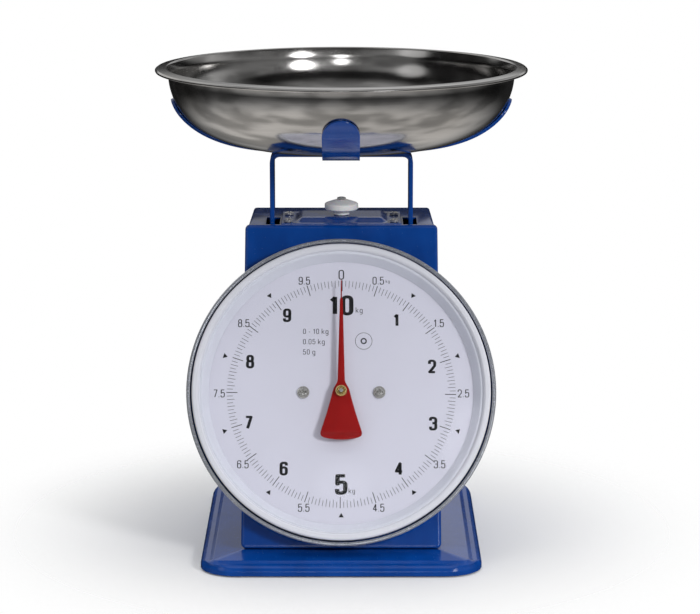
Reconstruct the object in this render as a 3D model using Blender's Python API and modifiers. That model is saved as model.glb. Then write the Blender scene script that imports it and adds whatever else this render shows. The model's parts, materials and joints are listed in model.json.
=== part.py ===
"""Spring dial kitchen scale, 10 kg: the frame of the object, its pieces and how they fit.

Metres, +Z up. The origin is on the table under the load axis, which is the middle of the bowl,
and the dial faces -Y. The dial leans back, so its pieces are built in the frame of an empty on
the front panel: local X across, local Y up the slope, local Z out of the dial.
"""

import math

import bmesh
import bpy
from mathutils import Matrix, Vector

MM = 0.001

# Housing
TILT = math.radians(21.0)       # the front panel leans back this much
PANEL_L = 216.9 * MM            # front panel, measured down its slope
PANEL_FOOT_Z = 12.906 * MM      # its lower edge
TOP_Z = PANEL_FOOT_Z + PANEL_L * math.cos(TILT)
AXIS_Y = 25.5 * MM              # load axis behind the top front edge
BODY_W_TOP = 126.4 * MM         # housing width at its front, top and bottom
BODY_W_LOW = 129.4 * MM
BODY_BACK_NARROWER = 3.4 * MM
BODY_DEPTH = 82.0 * MM          # depth of the top
BACK_LEAN = math.radians(3.3)
SHEET = 1.2 * MM                # housing sheet
TRAY_SHEET = 1.0 * MM
TRAY_WRAP = 4.0 * MM            # how far the front panel's edge turns back over the housing
EDGE_R = 2.2 * MM
GAP = 0.3 * MM                  # between pieces that touch

# Base
BASE_HALF_W = 92.6 * MM
BASE_BACK_Y = BODY_DEPTH - AXIS_Y + (TOP_Z - PANEL_FOOT_Z) * math.tan(BACK_LEAN) + 21.32 * MM
BASE_FLARE_X = 26.5 * MM        # flare beyond the housing at the sides and at the front
BASE_FLARE_Y = 21.9 * MM
BASE_CORNER_R = 24.0 * MM
FOOT_R = 8.0 * MM
FOOT_Z = 2.2 * MM

# Dial, heights measured out from the front panel's face
DIAL_DOWN = 113.75 * MM         # dial centre, measured down the slope from the top edge
DRUM_R = 102.3 * MM
DRUM_H = 13.4 * MM
BEZEL_R = DRUM_R - 3.7 * MM
BEZEL_H = 15.9 * MM
WINDOW_R = BEZEL_R - 10.6 * MM   # clear opening of the bezel at the dial plate
PLATE_H = 5.7 * MM              # face of the dial plate
LENS_RISE = 9.0 * MM
POINTER_H = 12.4 * MM           # underside of the pointer's blade
POINTER_TIP = WINDOW_R - 13.5 * MM
POINTER_TAIL = 29.0 * MM
POINTER_FLARE = 13.6 * MM       # half width of the tail
DIAL_SCREW_X = 25.2 * MM

# Movement
MODULE = 0.5 * MM
PINION_TEETH = 12
BACKLASH = 0.12 * MM
TRAVEL = 20.1 * MM              # drop of the bowl at full load
SPINDLE_R = 1.5 * MM
RACK_T = 2.5 * MM
RACK_H = -14.0 * MM             # height of the rack's middle plane at rest
PLATE_REAR_H = -32.0 * MM

# Load frame
STRAP_X = 46.8 * MM             # mid-plane of each strap
STRAP_W = 22.0 * MM
STRAP_T = 3.0 * MM
STRAP_LOW_Z = TOP_Z - 98.4 * MM
CROSSBAR_H = 6.0 * MM
CROSSBAR_D = 16.0 * MM
SPIDER_W = 24.4 * MM
SPIDER_T = 2.0 * MM

# Bowl
BOWL_R = 125.3 * MM             # outer edge of the rim
BOWL_WALL_R = BOWL_R - 8.7 * MM
BOWL_LOW_Z = TOP_Z + 49.6 * MM
BOWL_H = 54.4 * MM
BOWL_T = 1.0 * MM
SPIDER_TIP_R = BOWL_R - 12.6 * MM   # bowl radius that the tabs reach
BOWL_FLOOR_R = 38.0 * MM        # flat middle of the floor
BOWL_FLAT = 3.53                # exponents of the bowl's section
BOWL_ROUND = 2.28

# Zero adjuster
KNOB_R = 11.4 * MM
KNOB_NECK_R = 4.8 * MM
KNOB_LOW_Z = TOP_Z + 3.4 * MM
KNOB_H = 10.2 * MM
ZERO_SCREW_R = 2.0 * MM
HANGER_Z = TOP_Z - 15.4 * MM
SPRING_X = 24.0 * MM
SPRING_R = 6.4 * MM
SPRING_WIRE = 0.85 * MM
SPRING_TURNS = 9
STAY_L = 52.0 * MM
STAY_ANGLE = math.asin(TRAVEL / 2 / STAY_L)

PITCH_R = MODULE * PINION_TEETH / 2
SEGMENTS = 48


for old in list(bpy.data.objects):
    bpy.data.objects.remove(old, do_unlink=True)

scene = bpy.context.scene
parts = bpy.data.collections.new("kitchen_scale")
cutters = bpy.data.collections.new("kitchen_scale_cutters")
scene.collection.children.link(parts)
scene.collection.children.link(cutters)

FINISH = {
    "paint": ((0.012, 0.075, 0.40, 1), 0.22, 0.0),
    "enamel_white": ((0.80, 0.80, 0.82, 1), 0.30, 0.0),
    "dial_white": ((0.62, 0.62, 0.72, 1), 0.45, 0.0),
    "stainless": ((0.55, 0.55, 0.55, 1), 0.22, 1.0),
    "zinc": ((0.50, 0.50, 0.52, 1), 0.35, 1.0),
    "spring_steel": ((0.30, 0.30, 0.32, 1), 0.30, 1.0),
    "brass": ((0.62, 0.42, 0.14, 1), 0.25, 1.0),
    "red": ((0.42, 0.01, 0.015, 1), 0.30, 0.0),
    "clear": ((0.95, 0.97, 0.98, 1), 0.05, 0.0),
    "plastic_white": ((0.75, 0.75, 0.73, 1), 0.40, 0.0),
    "rubber": ((0.03, 0.03, 0.03, 1), 0.80, 0.0),
}


def material(name, finish):
    """A Principled material of this piece, or the one already made for its twins."""
    made = bpy.data.materials.get(name)
    if made:
        return made
    color, rough, metal = FINISH[finish]
    made = bpy.data.materials.new(name)
    made.use_nodes = True
    shader = made.node_tree.nodes["Principled BSDF"]
    shader.inputs["Base Color"].default_value = color
    shader.inputs["Roughness"].default_value = rough
    shader.inputs["Metallic"].default_value = metal
    if finish == "clear":
        shader.inputs["Transmission Weight"].default_value = 1.0
    made.diffuse_color = color
    return made


def put(name, data, finish, parent=None, at=(0, 0, 0), turn=(0, 0, 0), mat=None):
    """A new object in the parts collection, or a cutter when it has no finish."""
    obj = bpy.data.objects.new(name, data)
    obj.location = at
    obj.rotation_euler = turn
    obj.parent = parent
    if finish is None:
        cutters.objects.link(obj)
        obj.hide_render = True
        obj.display_type = "WIRE"
        return obj
    parts.objects.link(obj)
    data.materials.append(material(mat or name, finish))
    return obj


def smooth(obj, degrees=35):
    obj.data.shade_smooth()
    obj.data.set_sharp_from_angle(angle=math.radians(degrees))


def empty(name, parent=None, at=(0, 0, 0), turn=(0, 0, 0)):
    obj = bpy.data.objects.new(name, None)
    obj.empty_display_size = 0.02
    obj.location = at
    obj.rotation_euler = turn
    obj.parent = parent
    parts.objects.link(obj)
    return obj


def turned(name, finish, profile, ring=False, steps=SEGMENTS, **place):
    """A turned piece: (radius, height) points down its outer side, swept round local Z."""
    mesh = bpy.data.meshes.new(name)
    count = len(profile)
    edges = [(i, (i + 1) % count) for i in range(count if ring else count - 1)]
    mesh.from_pydata([(r, 0, z) for r, z in profile], edges, [])
    obj = put(name, mesh, finish, **place)
    screw = obj.modifiers.new("turn", "SCREW")
    screw.axis = "Z"
    screw.angle = 2 * math.pi
    screw.steps = screw.render_steps = steps
    screw.use_merge_vertices = True
    screw.merge_threshold = 0.00001
    screw.use_smooth_shade = True
    return obj


def block(name, finish, size, at, parent=None, bevel=0.0, mat=None):
    """A box of this size centred here, its edges rounded."""
    bm = bmesh.new()
    bmesh.ops.create_cube(bm, size=1.0, matrix=Matrix.Diagonal((*size, 1)))
    mesh = bpy.data.meshes.new(name)
    bm.to_mesh(mesh)
    bm.free()
    obj = put(name, mesh, finish, parent=parent, at=at, mat=mat)
    if bevel:
        round_edges(obj, bevel, 2)
    return obj


def hexahedron(name, finish, corners, round_front=0.0, **place):
    """A cube whose eight corners are moved: corners(sx, sy, sz) gives each one's place.

    round_front rounds every edge but those of its back face.
    """
    bm = bmesh.new()
    bmesh.ops.create_cube(bm, size=2.0)
    back = {vert for vert in bm.verts if vert.co.y > 0}
    for vert in bm.verts:
        vert.co = corners(*vert.co)
    if round_front:
        edges = [edge for edge in bm.edges if not back.issuperset(edge.verts)]
        bmesh.ops.bevel(bm, geom=edges, offset=round_front, segments=3, profile=0.5,
                        affect="EDGES")
    mesh = bpy.data.meshes.new(name)
    bm.to_mesh(mesh)
    bm.free()
    return put(name, mesh, finish, **place)


def round_edges(obj, width, segments):
    bevel = obj.modifiers.new("edges", "BEVEL")
    bevel.width = width
    bevel.segments = segments
    bevel.limit_method = "ANGLE"
    bevel.angle_limit = math.radians(30)


def cut(obj, cutter, operation="DIFFERENCE"):
    boolean = obj.modifiers.new(cutter.name, "BOOLEAN")
    boolean.operation = operation
    boolean.object = cutter
    boolean.solver = "EXACT"


def rod_cutter(name, radius, low, high, x=0.0, y=0.0, parent=None, steps=24):
    """A cylinder along local Z between two heights, used as a cutter."""
    bm = bmesh.new()
    bmesh.ops.create_cone(bm, cap_ends=True, segments=steps, radius1=radius, radius2=radius,
                          depth=high - low)
    mesh = bpy.data.meshes.new(name)
    bm.to_mesh(mesh)
    bm.free()
    return put(name, mesh, None, parent=parent, at=(x, y, (low + high) / 2))


def circle(radius, count, x=0.0, y=0.0):
    return [(x + radius * math.cos(2 * math.pi * i / count),
             y + radius * math.sin(2 * math.pi * i / count)) for i in range(count)]


def flat(name, finish, outlines, thickness, **place):
    """A flat piece: a filled 2D curve, its first outline the edge and the others holes."""
    curve = bpy.data.curves.new(name, "CURVE")
    curve.dimensions = "2D"
    curve.fill_mode = "BOTH"
    curve.extrude = thickness / 2
    for outline in outlines:
        spline = curve.splines.new("POLY")
        spline.points.add(len(outline) - 1)
        for point, (x, y) in zip(spline.points, outline):
            point.co = (x, y, 0, 1)
        spline.use_cyclic_u = True
    return put(name, curve, finish, **place)


def strip(name, finish, rows, thickness, **place):
    """A sheet-metal strip: rows of points across its width, thickened away from its face."""
    bm = bmesh.new()
    grid = [[bm.verts.new(point) for point in row] for row in rows]
    for one, two in zip(grid, grid[1:]):
        for i in range(len(one) - 1):
            bm.faces.new((one[i], one[i + 1], two[i + 1], two[i]))
    mesh = bpy.data.meshes.new(name)
    bm.to_mesh(mesh)
    bm.free()
    obj = put(name, mesh, finish, **place)
    solid = obj.modifiers.new("sheet", "SOLIDIFY")
    solid.thickness = thickness
    solid.offset = -1
    return obj


def pan_screw(name, finish, head_r, head_h, shank_r, shank_l, mat, **place):
    """A pan-head screw standing on local Z = 0, its shank running down."""
    profile = [(0, head_h), (head_r * 0.62, head_h * 0.96), (head_r * 0.94, head_h * 0.6),
               (head_r, 0), (shank_r, 0), (shank_r, -shank_l), (0, -shank_l)]
    return turned(name, finish, profile, steps=12, mat=mat, **place)


# ---------------------------------------------------------------- housing

def front_y(z, inward=0.0):
    """Y of the front panel's face at a height, moved inward along its normal."""
    return -AXIS_Y - (TOP_Z - z) * math.tan(TILT) + inward / math.cos(TILT)


BODY_TOP_Z = TOP_Z - TRAY_SHEET - GAP
BODY_LOW_Z = PANEL_FOOT_Z - GAP
BACK_TOP_Y = BODY_DEPTH - AXIS_Y


def body_half_width(z, back):
    up = (z - BODY_LOW_Z) / (BODY_TOP_Z - BODY_LOW_Z)
    width = BODY_W_LOW + (BODY_W_TOP - BODY_W_LOW) * up
    return (width - back * BODY_BACK_NARROWER) / 2


def back_y(z):
    return BACK_TOP_Y + (TOP_Z - z) * math.tan(BACK_LEAN)


def housing_corner(sx, sy, sz, inset=0.0, open_by=0.0):
    back = sy > 0
    low = BODY_LOW_Z if back else BODY_LOW_Z + TRAY_SHEET + 2 * GAP
    z = BODY_TOP_Z - inset if sz > 0 else low - open_by
    y = back_y(z) - inset if back else front_y(z, TRAY_SHEET + GAP) - open_by
    return Vector((sx * (body_half_width(z, back) - inset), y, z))


shell = hexahedron("body_shell", "paint", housing_corner)
round_edges(shell, EDGE_R, 3)
shell_inside = hexahedron(
    "cut_body_inside", None,
    lambda sx, sy, sz: housing_corner(sx, sy, sz, SHEET, 30 * MM))
cut(shell, shell_inside)

SLOT_W = STRAP_T + 6.4 * MM
for side, sx in (("left", -1), ("right", 1)):
    slot = block("cut_slot_" + side, None, (SLOT_W, STRAP_W + 6 * MM, 20 * MM),
                 (sx * (STRAP_X - 0.4 * MM), 0, BODY_TOP_Z))
    cut(shell, slot)
knob_hole = rod_cutter("cut_knob_hole", ZERO_SCREW_R + 2 * MM, BODY_TOP_Z - 8 * MM,
                       BODY_TOP_Z + 8 * MM)
cut(shell, knob_hole)

DOOR_W = 92 * MM
DOOR_H = 150 * MM
DOOR_Z = 112 * MM
door_hole = block("cut_door", None, (DOOR_W - 14 * MM, 30 * MM, DOOR_H - 14 * MM),
                  (0, back_y(DOOR_Z), DOOR_Z))
cut(shell, door_hole)


def tray_corner(sx, sy, sz, inset=0.0, open_by=0.0):
    """The front panel's pan: its face on the sloping plane, its rim turned back along Y."""
    down = 0.0 if sz > 0 else PANEL_L
    z = TOP_Z - down * math.cos(TILT) - inset * (1 if sz > 0 else -1)
    y = front_y(z, inset)
    if sy > 0:
        y += TRAY_WRAP - inset / math.cos(TILT) + open_by
    half = body_half_width(z, 0) + GAP + TRAY_SHEET - inset
    return Vector((sx * half, y, z))


panel = hexahedron("front_panel", "paint", tray_corner, round_front=EDGE_R)
panel_inside = hexahedron(
    "cut_panel_inside", None,
    lambda sx, sy, sz: tray_corner(sx, sy, sz, TRAY_SHEET, 5 * MM))
cut(panel, panel_inside)

dial = empty("dial_axis",
             at=(0, front_y(TOP_Z) - DIAL_DOWN * math.sin(TILT), TOP_Z - DIAL_DOWN * math.cos(TILT)),
             turn=(math.pi / 2 - TILT, 0, 0))

SHAFT_HOLE_R = SPINDLE_R + 3 * MM
SCREW_HOLE_R = 1.8 * MM
cut(panel, rod_cutter("cut_panel_shaft", SHAFT_HOLE_R, -6 * MM, 6 * MM, parent=dial))
screw_holes = []
for side, sx in (("left", -1), ("right", 1)):
    hole = rod_cutter("cut_dial_screw_" + side, SCREW_HOLE_R, -9 * MM, 9 * MM,
                      x=sx * DIAL_SCREW_X, parent=dial, steps=16)
    screw_holes.append(hole)
    cut(panel, hole)

# Rear cover over the opening at the back, held by four screws
door = block("rear_cover", "paint", (DOOR_W, 1.2 * MM, DOOR_H),
             (0, back_y(DOOR_Z) + (0.6 * MM + GAP) / math.cos(BACK_LEAN), DOOR_Z))
door.rotation_euler = (BACK_LEAN, 0, 0)
DOOR_SCREW_X = DOOR_W / 2 - 3.6 * MM
DOOR_SCREW_Z = DOOR_H / 2 - 3.6 * MM
rear_screws = (("lower_left", -1, -1), ("lower_right", 1, -1),
               ("upper_left", -1, 1), ("upper_right", 1, 1))
for where, sx, sz in rear_screws:
    local = (sx * DOOR_SCREW_X, 0, sz * DOOR_SCREW_Z)
    for holed in (shell, door):
        hole = rod_cutter("cut_rear_" + where + "_" + holed.name, SCREW_HOLE_R, -6 * MM, 6 * MM,
                          parent=door, steps=16)
        hole.location = local
        hole.rotation_euler = (-math.pi / 2, 0, 0)
        cut(holed, hole)
    pan_screw("rear_screw_" + where, "zinc", 3.0 * MM, 1.8 * MM, 1.4 * MM, 5.0 * MM,
              "rear_screw", parent=door,
              at=(local[0], 0.6 * MM + GAP, local[2]), turn=(-math.pi / 2, 0, 0))

# ---------------------------------------------------------------- base

BASE_FRONT_Y = front_y(PANEL_FOOT_Z) - BASE_FLARE_Y
BASE_MID_Y = (BASE_FRONT_Y + BASE_BACK_Y) / 2
BASE_HALF_D = (BASE_BACK_Y - BASE_FRONT_Y) / 2
SKIRT_TOP_Z = BODY_LOW_Z - GAP


def rounded_rectangle(half_x, half_y, radius, z, steps=6):
    """Points round a rectangle with rounded corners, centred under the base."""
    points = []
    for corner in range(4):
        sx = (1, -1, -1, 1)[corner]
        sy = (1, 1, -1, -1)[corner]
        for i in range(steps + 1):
            angle = math.pi / 2 * (corner + i / steps)
            points.append((sx * (half_x - radius) + radius * math.cos(angle),
                           BASE_MID_Y + sy * (half_y - radius) + radius * math.sin(angle), z))
    return points


def skirt_section():
    """(share of the flare inward, height, corner radius) round the skirt's thin section."""
    top = SKIRT_TOP_Z
    outer = [(0.0, 1.0 * MM, 1.0), (0.0, 4.2 * MM, 1.0), (0.035, 6.4 * MM, 0.97),
             (0.12, 7.9 * MM, 0.88), (0.30, 9.0 * MM, 0.60), (0.42, top - 2.6 * MM, 0.34),
             (0.95, top - 0.4 * MM, 0.12), (1.04, top, 0.10), (1.20, top, 0.10)]
    inner = [(share + (0.045 if share < 0.2 else 0.01), z - (0.0 if i == 0 else 1.1 * MM), r * 0.96)
             for i, (share, z, r) in enumerate(outer)]
    inner[-1] = (1.20, top - 1.1 * MM, 0.10)
    return outer + inner[::-1]


def skirt():
    bm = bmesh.new()
    loops = []
    for share, z, round_share in skirt_section():
        ring = rounded_rectangle(BASE_HALF_W - BASE_FLARE_X * share,
                                 BASE_HALF_D - BASE_FLARE_Y * share,
                                 BASE_CORNER_R * round_share, z)
        loops.append([bm.verts.new(point) for point in ring])
    count = len(loops[0])
    for k, loop in enumerate(loops):
        following = loops[(k + 1) % len(loops)]
        for i in range(count):
            j = (i + 1) % count
            bm.faces.new((loop[i], loop[j], following[j], following[i]))
    bmesh.ops.recalc_face_normals(bm, faces=bm.faces)
    mesh = bpy.data.meshes.new("base_skirt")
    bm.to_mesh(mesh)
    bm.free()
    obj = put("base_skirt", mesh, "paint")
    smooth(obj, 25)
    return obj


skirt()

PLATE_Z = FOOT_Z + GAP
bottom = flat("bottom_plate", "zinc",
              [[(x, y) for x, y, _ in rounded_rectangle(BASE_HALF_W - 3.5 * MM,
                                                        BASE_HALF_D - 3.5 * MM,
                                                        BASE_CORNER_R - 3.5 * MM, 0)]],
              1.0 * MM, at=(0, 0, PLATE_Z + 0.5 * MM))
FOOT_INSET = 15 * MM
feet = (("front_left", -1, -1), ("front_right", 1, -1), ("rear_left", -1, 1),
        ("rear_right", 1, 1))
for where, sx, sy in feet:
    turned("foot_" + where, "rubber",
           [(0, FOOT_Z), (FOOT_R, FOOT_Z), (FOOT_R, 0.6 * MM), (FOOT_R - 0.8 * MM, 0), (0, 0)],
           steps=24, mat="foot",
           at=(sx * (BASE_HALF_W - FOOT_INSET), BASE_MID_Y + sy * (BASE_HALF_D - FOOT_INSET), 0))

# ---------------------------------------------------------------- top bracket

BRACKET_Z = BODY_TOP_Z + GAP
BRACKET_T = 1.5 * MM
BRACKET_W = 81 * MM
BRACKET_FRONT_Y = -AXIS_Y + TRAY_WRAP + GAP
BRACKET_BACK_Y = 28 * MM
BRACKET_MID_Y = (BRACKET_FRONT_Y + BRACKET_BACK_Y) / 2
HAT_RISE = 2.5 * MM
bracket = block("top_bracket", "paint",
                (BRACKET_W, BRACKET_BACK_Y - BRACKET_FRONT_Y, BRACKET_T),
                (0, BRACKET_MID_Y, BRACKET_Z + BRACKET_T / 2))


def hat_corner(sx, sy, sz, inset=0.0):
    """The raised middle of the bracket, with a long slope at the front."""
    if sz > 0:
        x = 26 * MM - inset
        y = (-7.5 * MM + inset, 17 * MM - inset)[sy > 0]
        z = BRACKET_T + HAT_RISE - inset
    else:
        x = 31.5 * MM - inset
        y = (-20.3 * MM + inset * 2, 21 * MM - inset)[sy > 0]
        z = 0.5 * MM - inset * 2
    return Vector((sx * x, y, z + BRACKET_Z))


hat = hexahedron("cut_hat", None, hat_corner)
cut(bracket, hat, "UNION")
cut(bracket, hexahedron("cut_hat_inside", None,
                        lambda sx, sy, sz: hat_corner(sx, sy, sz, 1.3 * MM)))
cut(bracket, rod_cutter("cut_hat_hole", ZERO_SCREW_R + GAP, BRACKET_Z - 5 * MM,
                        BRACKET_Z + 9 * MM))
BRACKET_SCREW_X = 35.8 * MM
BRACKET_SCREWS = (("front_left", -1, -14.5 * MM), ("front_right", 1, -14.5 * MM),
                  ("rear_left", -1, 14 * MM), ("rear_right", 1, 14 * MM))
for where, sx, y in BRACKET_SCREWS:
    for holed in (bracket, shell):
        cut(holed, rod_cutter("cut_bracket_" + where + "_" + holed.name, SCREW_HOLE_R,
                              BODY_TOP_Z - 6 * MM, BODY_TOP_Z + 6 * MM,
                              x=sx * BRACKET_SCREW_X, y=y, steps=16))
    pan_screw("bracket_screw_" + where, "zinc", 3.3 * MM, 2.0 * MM, 1.4 * MM, 6.0 * MM,
              "bracket_screw", at=(sx * BRACKET_SCREW_X, y, BRACKET_Z + BRACKET_T + GAP))
for side, sx in (("left", -1), ("right", 1)):
    cut(bracket, rod_cutter("cut_rivet_" + side, 1.1 * MM, BRACKET_Z - 3 * MM,
                            BRACKET_Z + 9 * MM, x=sx * 13.5 * MM, y=24 * MM, steps=16))

# ---------------------------------------------------------------- zero adjuster

zero_axis = empty("zero_axis", at=(0, 0, KNOB_LOW_Z))
knob_bore = ZERO_SCREW_R + GAP
knob_top = KNOB_H
turned("zero_knob", "plastic_white",
       [(3.6 * MM, knob_top), (7.4 * MM, knob_top - 0.9 * MM), (10.5 * MM, knob_top - 1.9 * MM),
        (KNOB_R, knob_top - 2.9 * MM), (KNOB_R - 0.2 * MM, knob_top - 3.9 * MM),
        (10.2 * MM, knob_top - 5.0 * MM), (KNOB_NECK_R + 1.2 * MM, knob_top - 5.4 * MM),
        (KNOB_NECK_R, knob_top - 6.4 * MM), (KNOB_NECK_R, 0), (knob_bore, 0),
        (knob_bore, knob_top)],
       ring=True, steps=28, parent=zero_axis)
HANGER_T = 4.0 * MM
screw_low = HANGER_Z - 7 * MM - KNOB_LOW_Z
turned("zero_screw", "zinc",
       [(0, knob_top + GAP + 1.5 * MM), (2.2 * MM, knob_top + GAP + 1.35 * MM),
        (3.1 * MM, knob_top + GAP + 0.5 * MM), (3.1 * MM, knob_top + GAP),
        (ZERO_SCREW_R, knob_top + GAP), (ZERO_SCREW_R, screw_low + 0.6 * MM),
        (ZERO_SCREW_R - 0.6 * MM, screw_low), (0, screw_low)],
       steps=24, parent=zero_axis)
hanger = flat("hanger_bar", "zinc",
              [[(-34 * MM, -6 * MM), (34 * MM, -6 * MM), (34 * MM, 6 * MM), (-34 * MM, 6 * MM)],
               circle(ZERO_SCREW_R + GAP, 24),
               circle(1.6 * MM, 16, -SPRING_X), circle(1.6 * MM, 16, SPRING_X)],
              HANGER_T, at=(0, 0, HANGER_Z + HANGER_T / 2))

# ---------------------------------------------------------------- load frame

SPIDER_TOP_Z = BOWL_LOW_Z - GAP
YOKE_TOP_Z = SPIDER_TOP_Z - SPIDER_T - GAP
CROSSBAR_Z = STRAP_LOW_Z + 4 * MM
YOKE_BEND_R = 6.0 * MM


def yoke_path():
    """Outer face of the inverted U, from the left strap's foot over the top to the right."""
    out = STRAP_X + STRAP_T / 2
    right = [(out, STRAP_LOW_Z)]
    for i in range(7):
        angle = math.pi / 2 * i / 6
        right.append((out - YOKE_BEND_R + YOKE_BEND_R * math.cos(angle),
                      YOKE_TOP_Z - YOKE_BEND_R + YOKE_BEND_R * math.sin(angle)))
    return [(-x, z) for x, z in right] + right[::-1]


yoke = strip("yoke", "paint",
             [[(x, -STRAP_W / 2, z), (x, STRAP_W / 2, z)] for x, z in yoke_path()][::-1],
             STRAP_T)
crossbar = flat("crossbar", "zinc",
                [[(sx * (STRAP_X - STRAP_T / 2 - GAP), sy * CROSSBAR_D / 2)
                  for sx, sy in ((-1, -1), (1, -1), (1, 1), (-1, 1))],
                 circle(1.6 * MM, 16, -SPRING_X), circle(1.6 * MM, 16, SPRING_X)],
                CROSSBAR_H, at=(0, 0, CROSSBAR_Z + CROSSBAR_H / 2))
for side, sx in (("left", -1), ("right", 1)):
    cut(yoke, rod_cutter("cut_spider_screw_yoke_" + side, SCREW_HOLE_R, YOKE_TOP_Z - 8 * MM,
                         YOKE_TOP_Z + 8 * MM, x=sx * 9 * MM, steps=16))


def bowl_rise(radius):
    share = min(radius / BOWL_WALL_R, 1.0) ** BOWL_FLAT
    return 1 - (1 - share) ** (1 / BOWL_ROUND)


def bowl_z(radius):
    """Height of the bowl's outer surface at a radius: a flat floor that turns up to the wall."""
    floor = bowl_rise(BOWL_FLOOR_R)
    return BOWL_LOW_Z + BOWL_H * max(bowl_rise(radius) - floor, 0.0) / (1 - floor)


def bowl_path(count):
    """Points of that surface from the floor's edge, (radius, height), closer as it steepens."""
    points = []
    for i in range(count + 1):
        share = math.sin(math.pi / 2 * i / count) ** 0.9
        radius = BOWL_FLOOR_R + (BOWL_WALL_R - BOWL_FLOOR_R) * share
        points.append((radius, bowl_z(radius)))
    return points


def offset_path(points, distance):
    """The same path moved sideways, to its right."""
    moved = []
    for i, point in enumerate(points):
        before = Vector(points[max(i - 1, 0)])
        after = Vector(points[min(i + 1, len(points) - 1)])
        along = (after - before).normalized()
        moved.append((point[0] + along.y * distance, point[1] - along.x * distance))
    return moved


def spider():
    """A cross of four strips that follow the bowl's underside and end in round tabs."""
    half = SPIDER_W / 2
    count = 11
    radii = [half + (SPIDER_TIP_R - half) * (1 - (1 - i / count) ** 1.6)
             for i in range(count + 1)]
    path = offset_path([(r, bowl_z(r)) for r in radii], GAP + 0.1 * MM)
    path = [(half, SPIDER_TOP_Z)] + [(r, min(z, bowl_z(r) - GAP)) for r, z in path[1:]]
    lengths = [0.0]
    for one, two in zip(path, path[1:]):
        lengths.append(lengths[-1] + math.dist(one, two))
    total = lengths[-1]
    fine = []
    for (r0, z0), (r1, z1), l0, l1 in zip(path, path[1:], lengths, lengths[1:]):
        pieces = 2 if l1 > total - half else 1
        for i in range(pieces):
            t = i / pieces
            fine.append((r0 + (r1 - r0) * t, z0 + (z1 - z0) * t, l0 + (l1 - l0) * t))
    fine.append((*path[-1], total - 0.4 * MM))
    across = [-1, -0.5, 0, 0.5, 1]
    bm = bmesh.new()
    for quarter in range(4):
        spin = Matrix.Rotation(math.pi / 2 * quarter, 3, "Z")
        rows = []
        for r, z, length in fine:
            over = max(length - (total - half), 0.0)
            width = math.sqrt(max(half * half - over * over, 0.0))
            rows.append([bm.verts.new(spin @ Vector((r, width * a, z))) for a in across])
        for one, two in zip(rows, rows[1:]):
            for i in range(len(across) - 1):
                bm.faces.new((one[i + 1], one[i], two[i], two[i + 1]))
    middle = [[bm.verts.new((half * a, half * b, SPIDER_TOP_Z)) for a in across] for b in across]
    for one, two in zip(middle, middle[1:]):
        for i in range(len(across) - 1):
            bm.faces.new((one[i], one[i + 1], two[i + 1], two[i]))
    bmesh.ops.remove_doubles(bm, verts=bm.verts, dist=0.00001)
    bmesh.ops.recalc_face_normals(bm, faces=bm.faces)
    if sum(face.normal.z for face in bm.faces) < 0:
        bmesh.ops.reverse_faces(bm, faces=bm.faces)
    mesh = bpy.data.meshes.new("pan_spider")
    bm.to_mesh(mesh)
    bm.free()
    obj = put("pan_spider", mesh, "paint")
    solid = obj.modifiers.new("sheet", "SOLIDIFY")
    solid.thickness = SPIDER_T
    solid.offset = -1
    solid.use_even_offset = True
    return obj


cross = spider()
for side, sx in (("left", -1), ("right", 1)):
    cut(cross, rod_cutter("cut_spider_screw_cross_" + side, SCREW_HOLE_R,
                          SPIDER_TOP_Z - 6 * MM, SPIDER_TOP_Z + 6 * MM, x=sx * 9 * MM, steps=16))
    pan_screw("spider_screw_" + side, "zinc", 3.3 * MM, 2.0 * MM, 1.4 * MM,
              STRAP_T + SPIDER_T + GAP, "spider_screw",
              at=(sx * 9 * MM, 0, YOKE_TOP_Z - STRAP_T - GAP), turn=(math.pi, 0, 0))

# Bowl: outer skin up to the rolled rim, then the inner skin back to the middle
outer_skin = bowl_path(8)
inner_skin = offset_path(outer_skin, -BOWL_T)
rim_z = BOWL_LOW_Z + BOWL_H
bowl_profile = [(0, BOWL_LOW_Z + BOWL_T), (BOWL_FLOOR_R, BOWL_LOW_Z + BOWL_T)] + inner_skin[1:-1]
bowl_profile += [(BOWL_WALL_R + 0.2 * MM, rim_z + 0.6 * MM), (BOWL_R - 1.0 * MM, rim_z + 0.6 * MM),
                 (BOWL_R, rim_z - 0.4 * MM), (BOWL_R - 0.6 * MM, rim_z - 1.2 * MM),
                 (BOWL_R - 1.8 * MM, rim_z - 0.5 * MM), (BOWL_WALL_R + 1.0 * MM, rim_z - 0.6 * MM)]
bowl_profile += outer_skin[-2::-1] + [(0, BOWL_LOW_Z)]
turned("bowl", "stainless", bowl_profile, steps=60)

# ---------------------------------------------------------------- springs


def spring(name, x):
    """An extension spring: a close coil with a straight tail and a bent end at each bar."""
    low = CROSSBAR_Z + CROSSBAR_H
    points = [(4.5 * MM, 0, CROSSBAR_Z - 1.3 * MM), (0.6 * MM, 0, CROSSBAR_Z - 1.3 * MM),
              (0, 0, CROSSBAR_Z - 0.7 * MM), (0, 0, low + 3 * MM)]
    steps = SPRING_TURNS * 8
    start = low + 6 * MM
    length = HANGER_Z - 6 * MM - start
    for i in range(steps + 1):
        angle = 2 * math.pi * i / 8
        points.append((SPRING_R * math.cos(angle), SPRING_R * math.sin(angle),
                       start + length * i / steps))
    over = HANGER_Z + HANGER_T + 1.3 * MM
    points += [(0, 0, HANGER_Z - 3 * MM), (0, 0, over - 0.6 * MM), (0.6 * MM, 0, over),
               (4.5 * MM, 0, over)]
    curve = bpy.data.curves.new(name, "CURVE")
    curve.dimensions = "3D"
    curve.bevel_depth = SPRING_WIRE
    curve.bevel_resolution = 1
    curve.use_fill_caps = True
    spline = curve.splines.new("POLY")
    spline.points.add(len(points) - 1)
    for point, place in zip(spline.points, points):
        point.co = (*place, 1)
    return put(name, curve, "spring_steel", at=(x, 0, 0), mat="spring")


spring("spring_left", -SPRING_X)
spring("spring_right", SPRING_X)

# ---------------------------------------------------------------- movement

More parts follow.
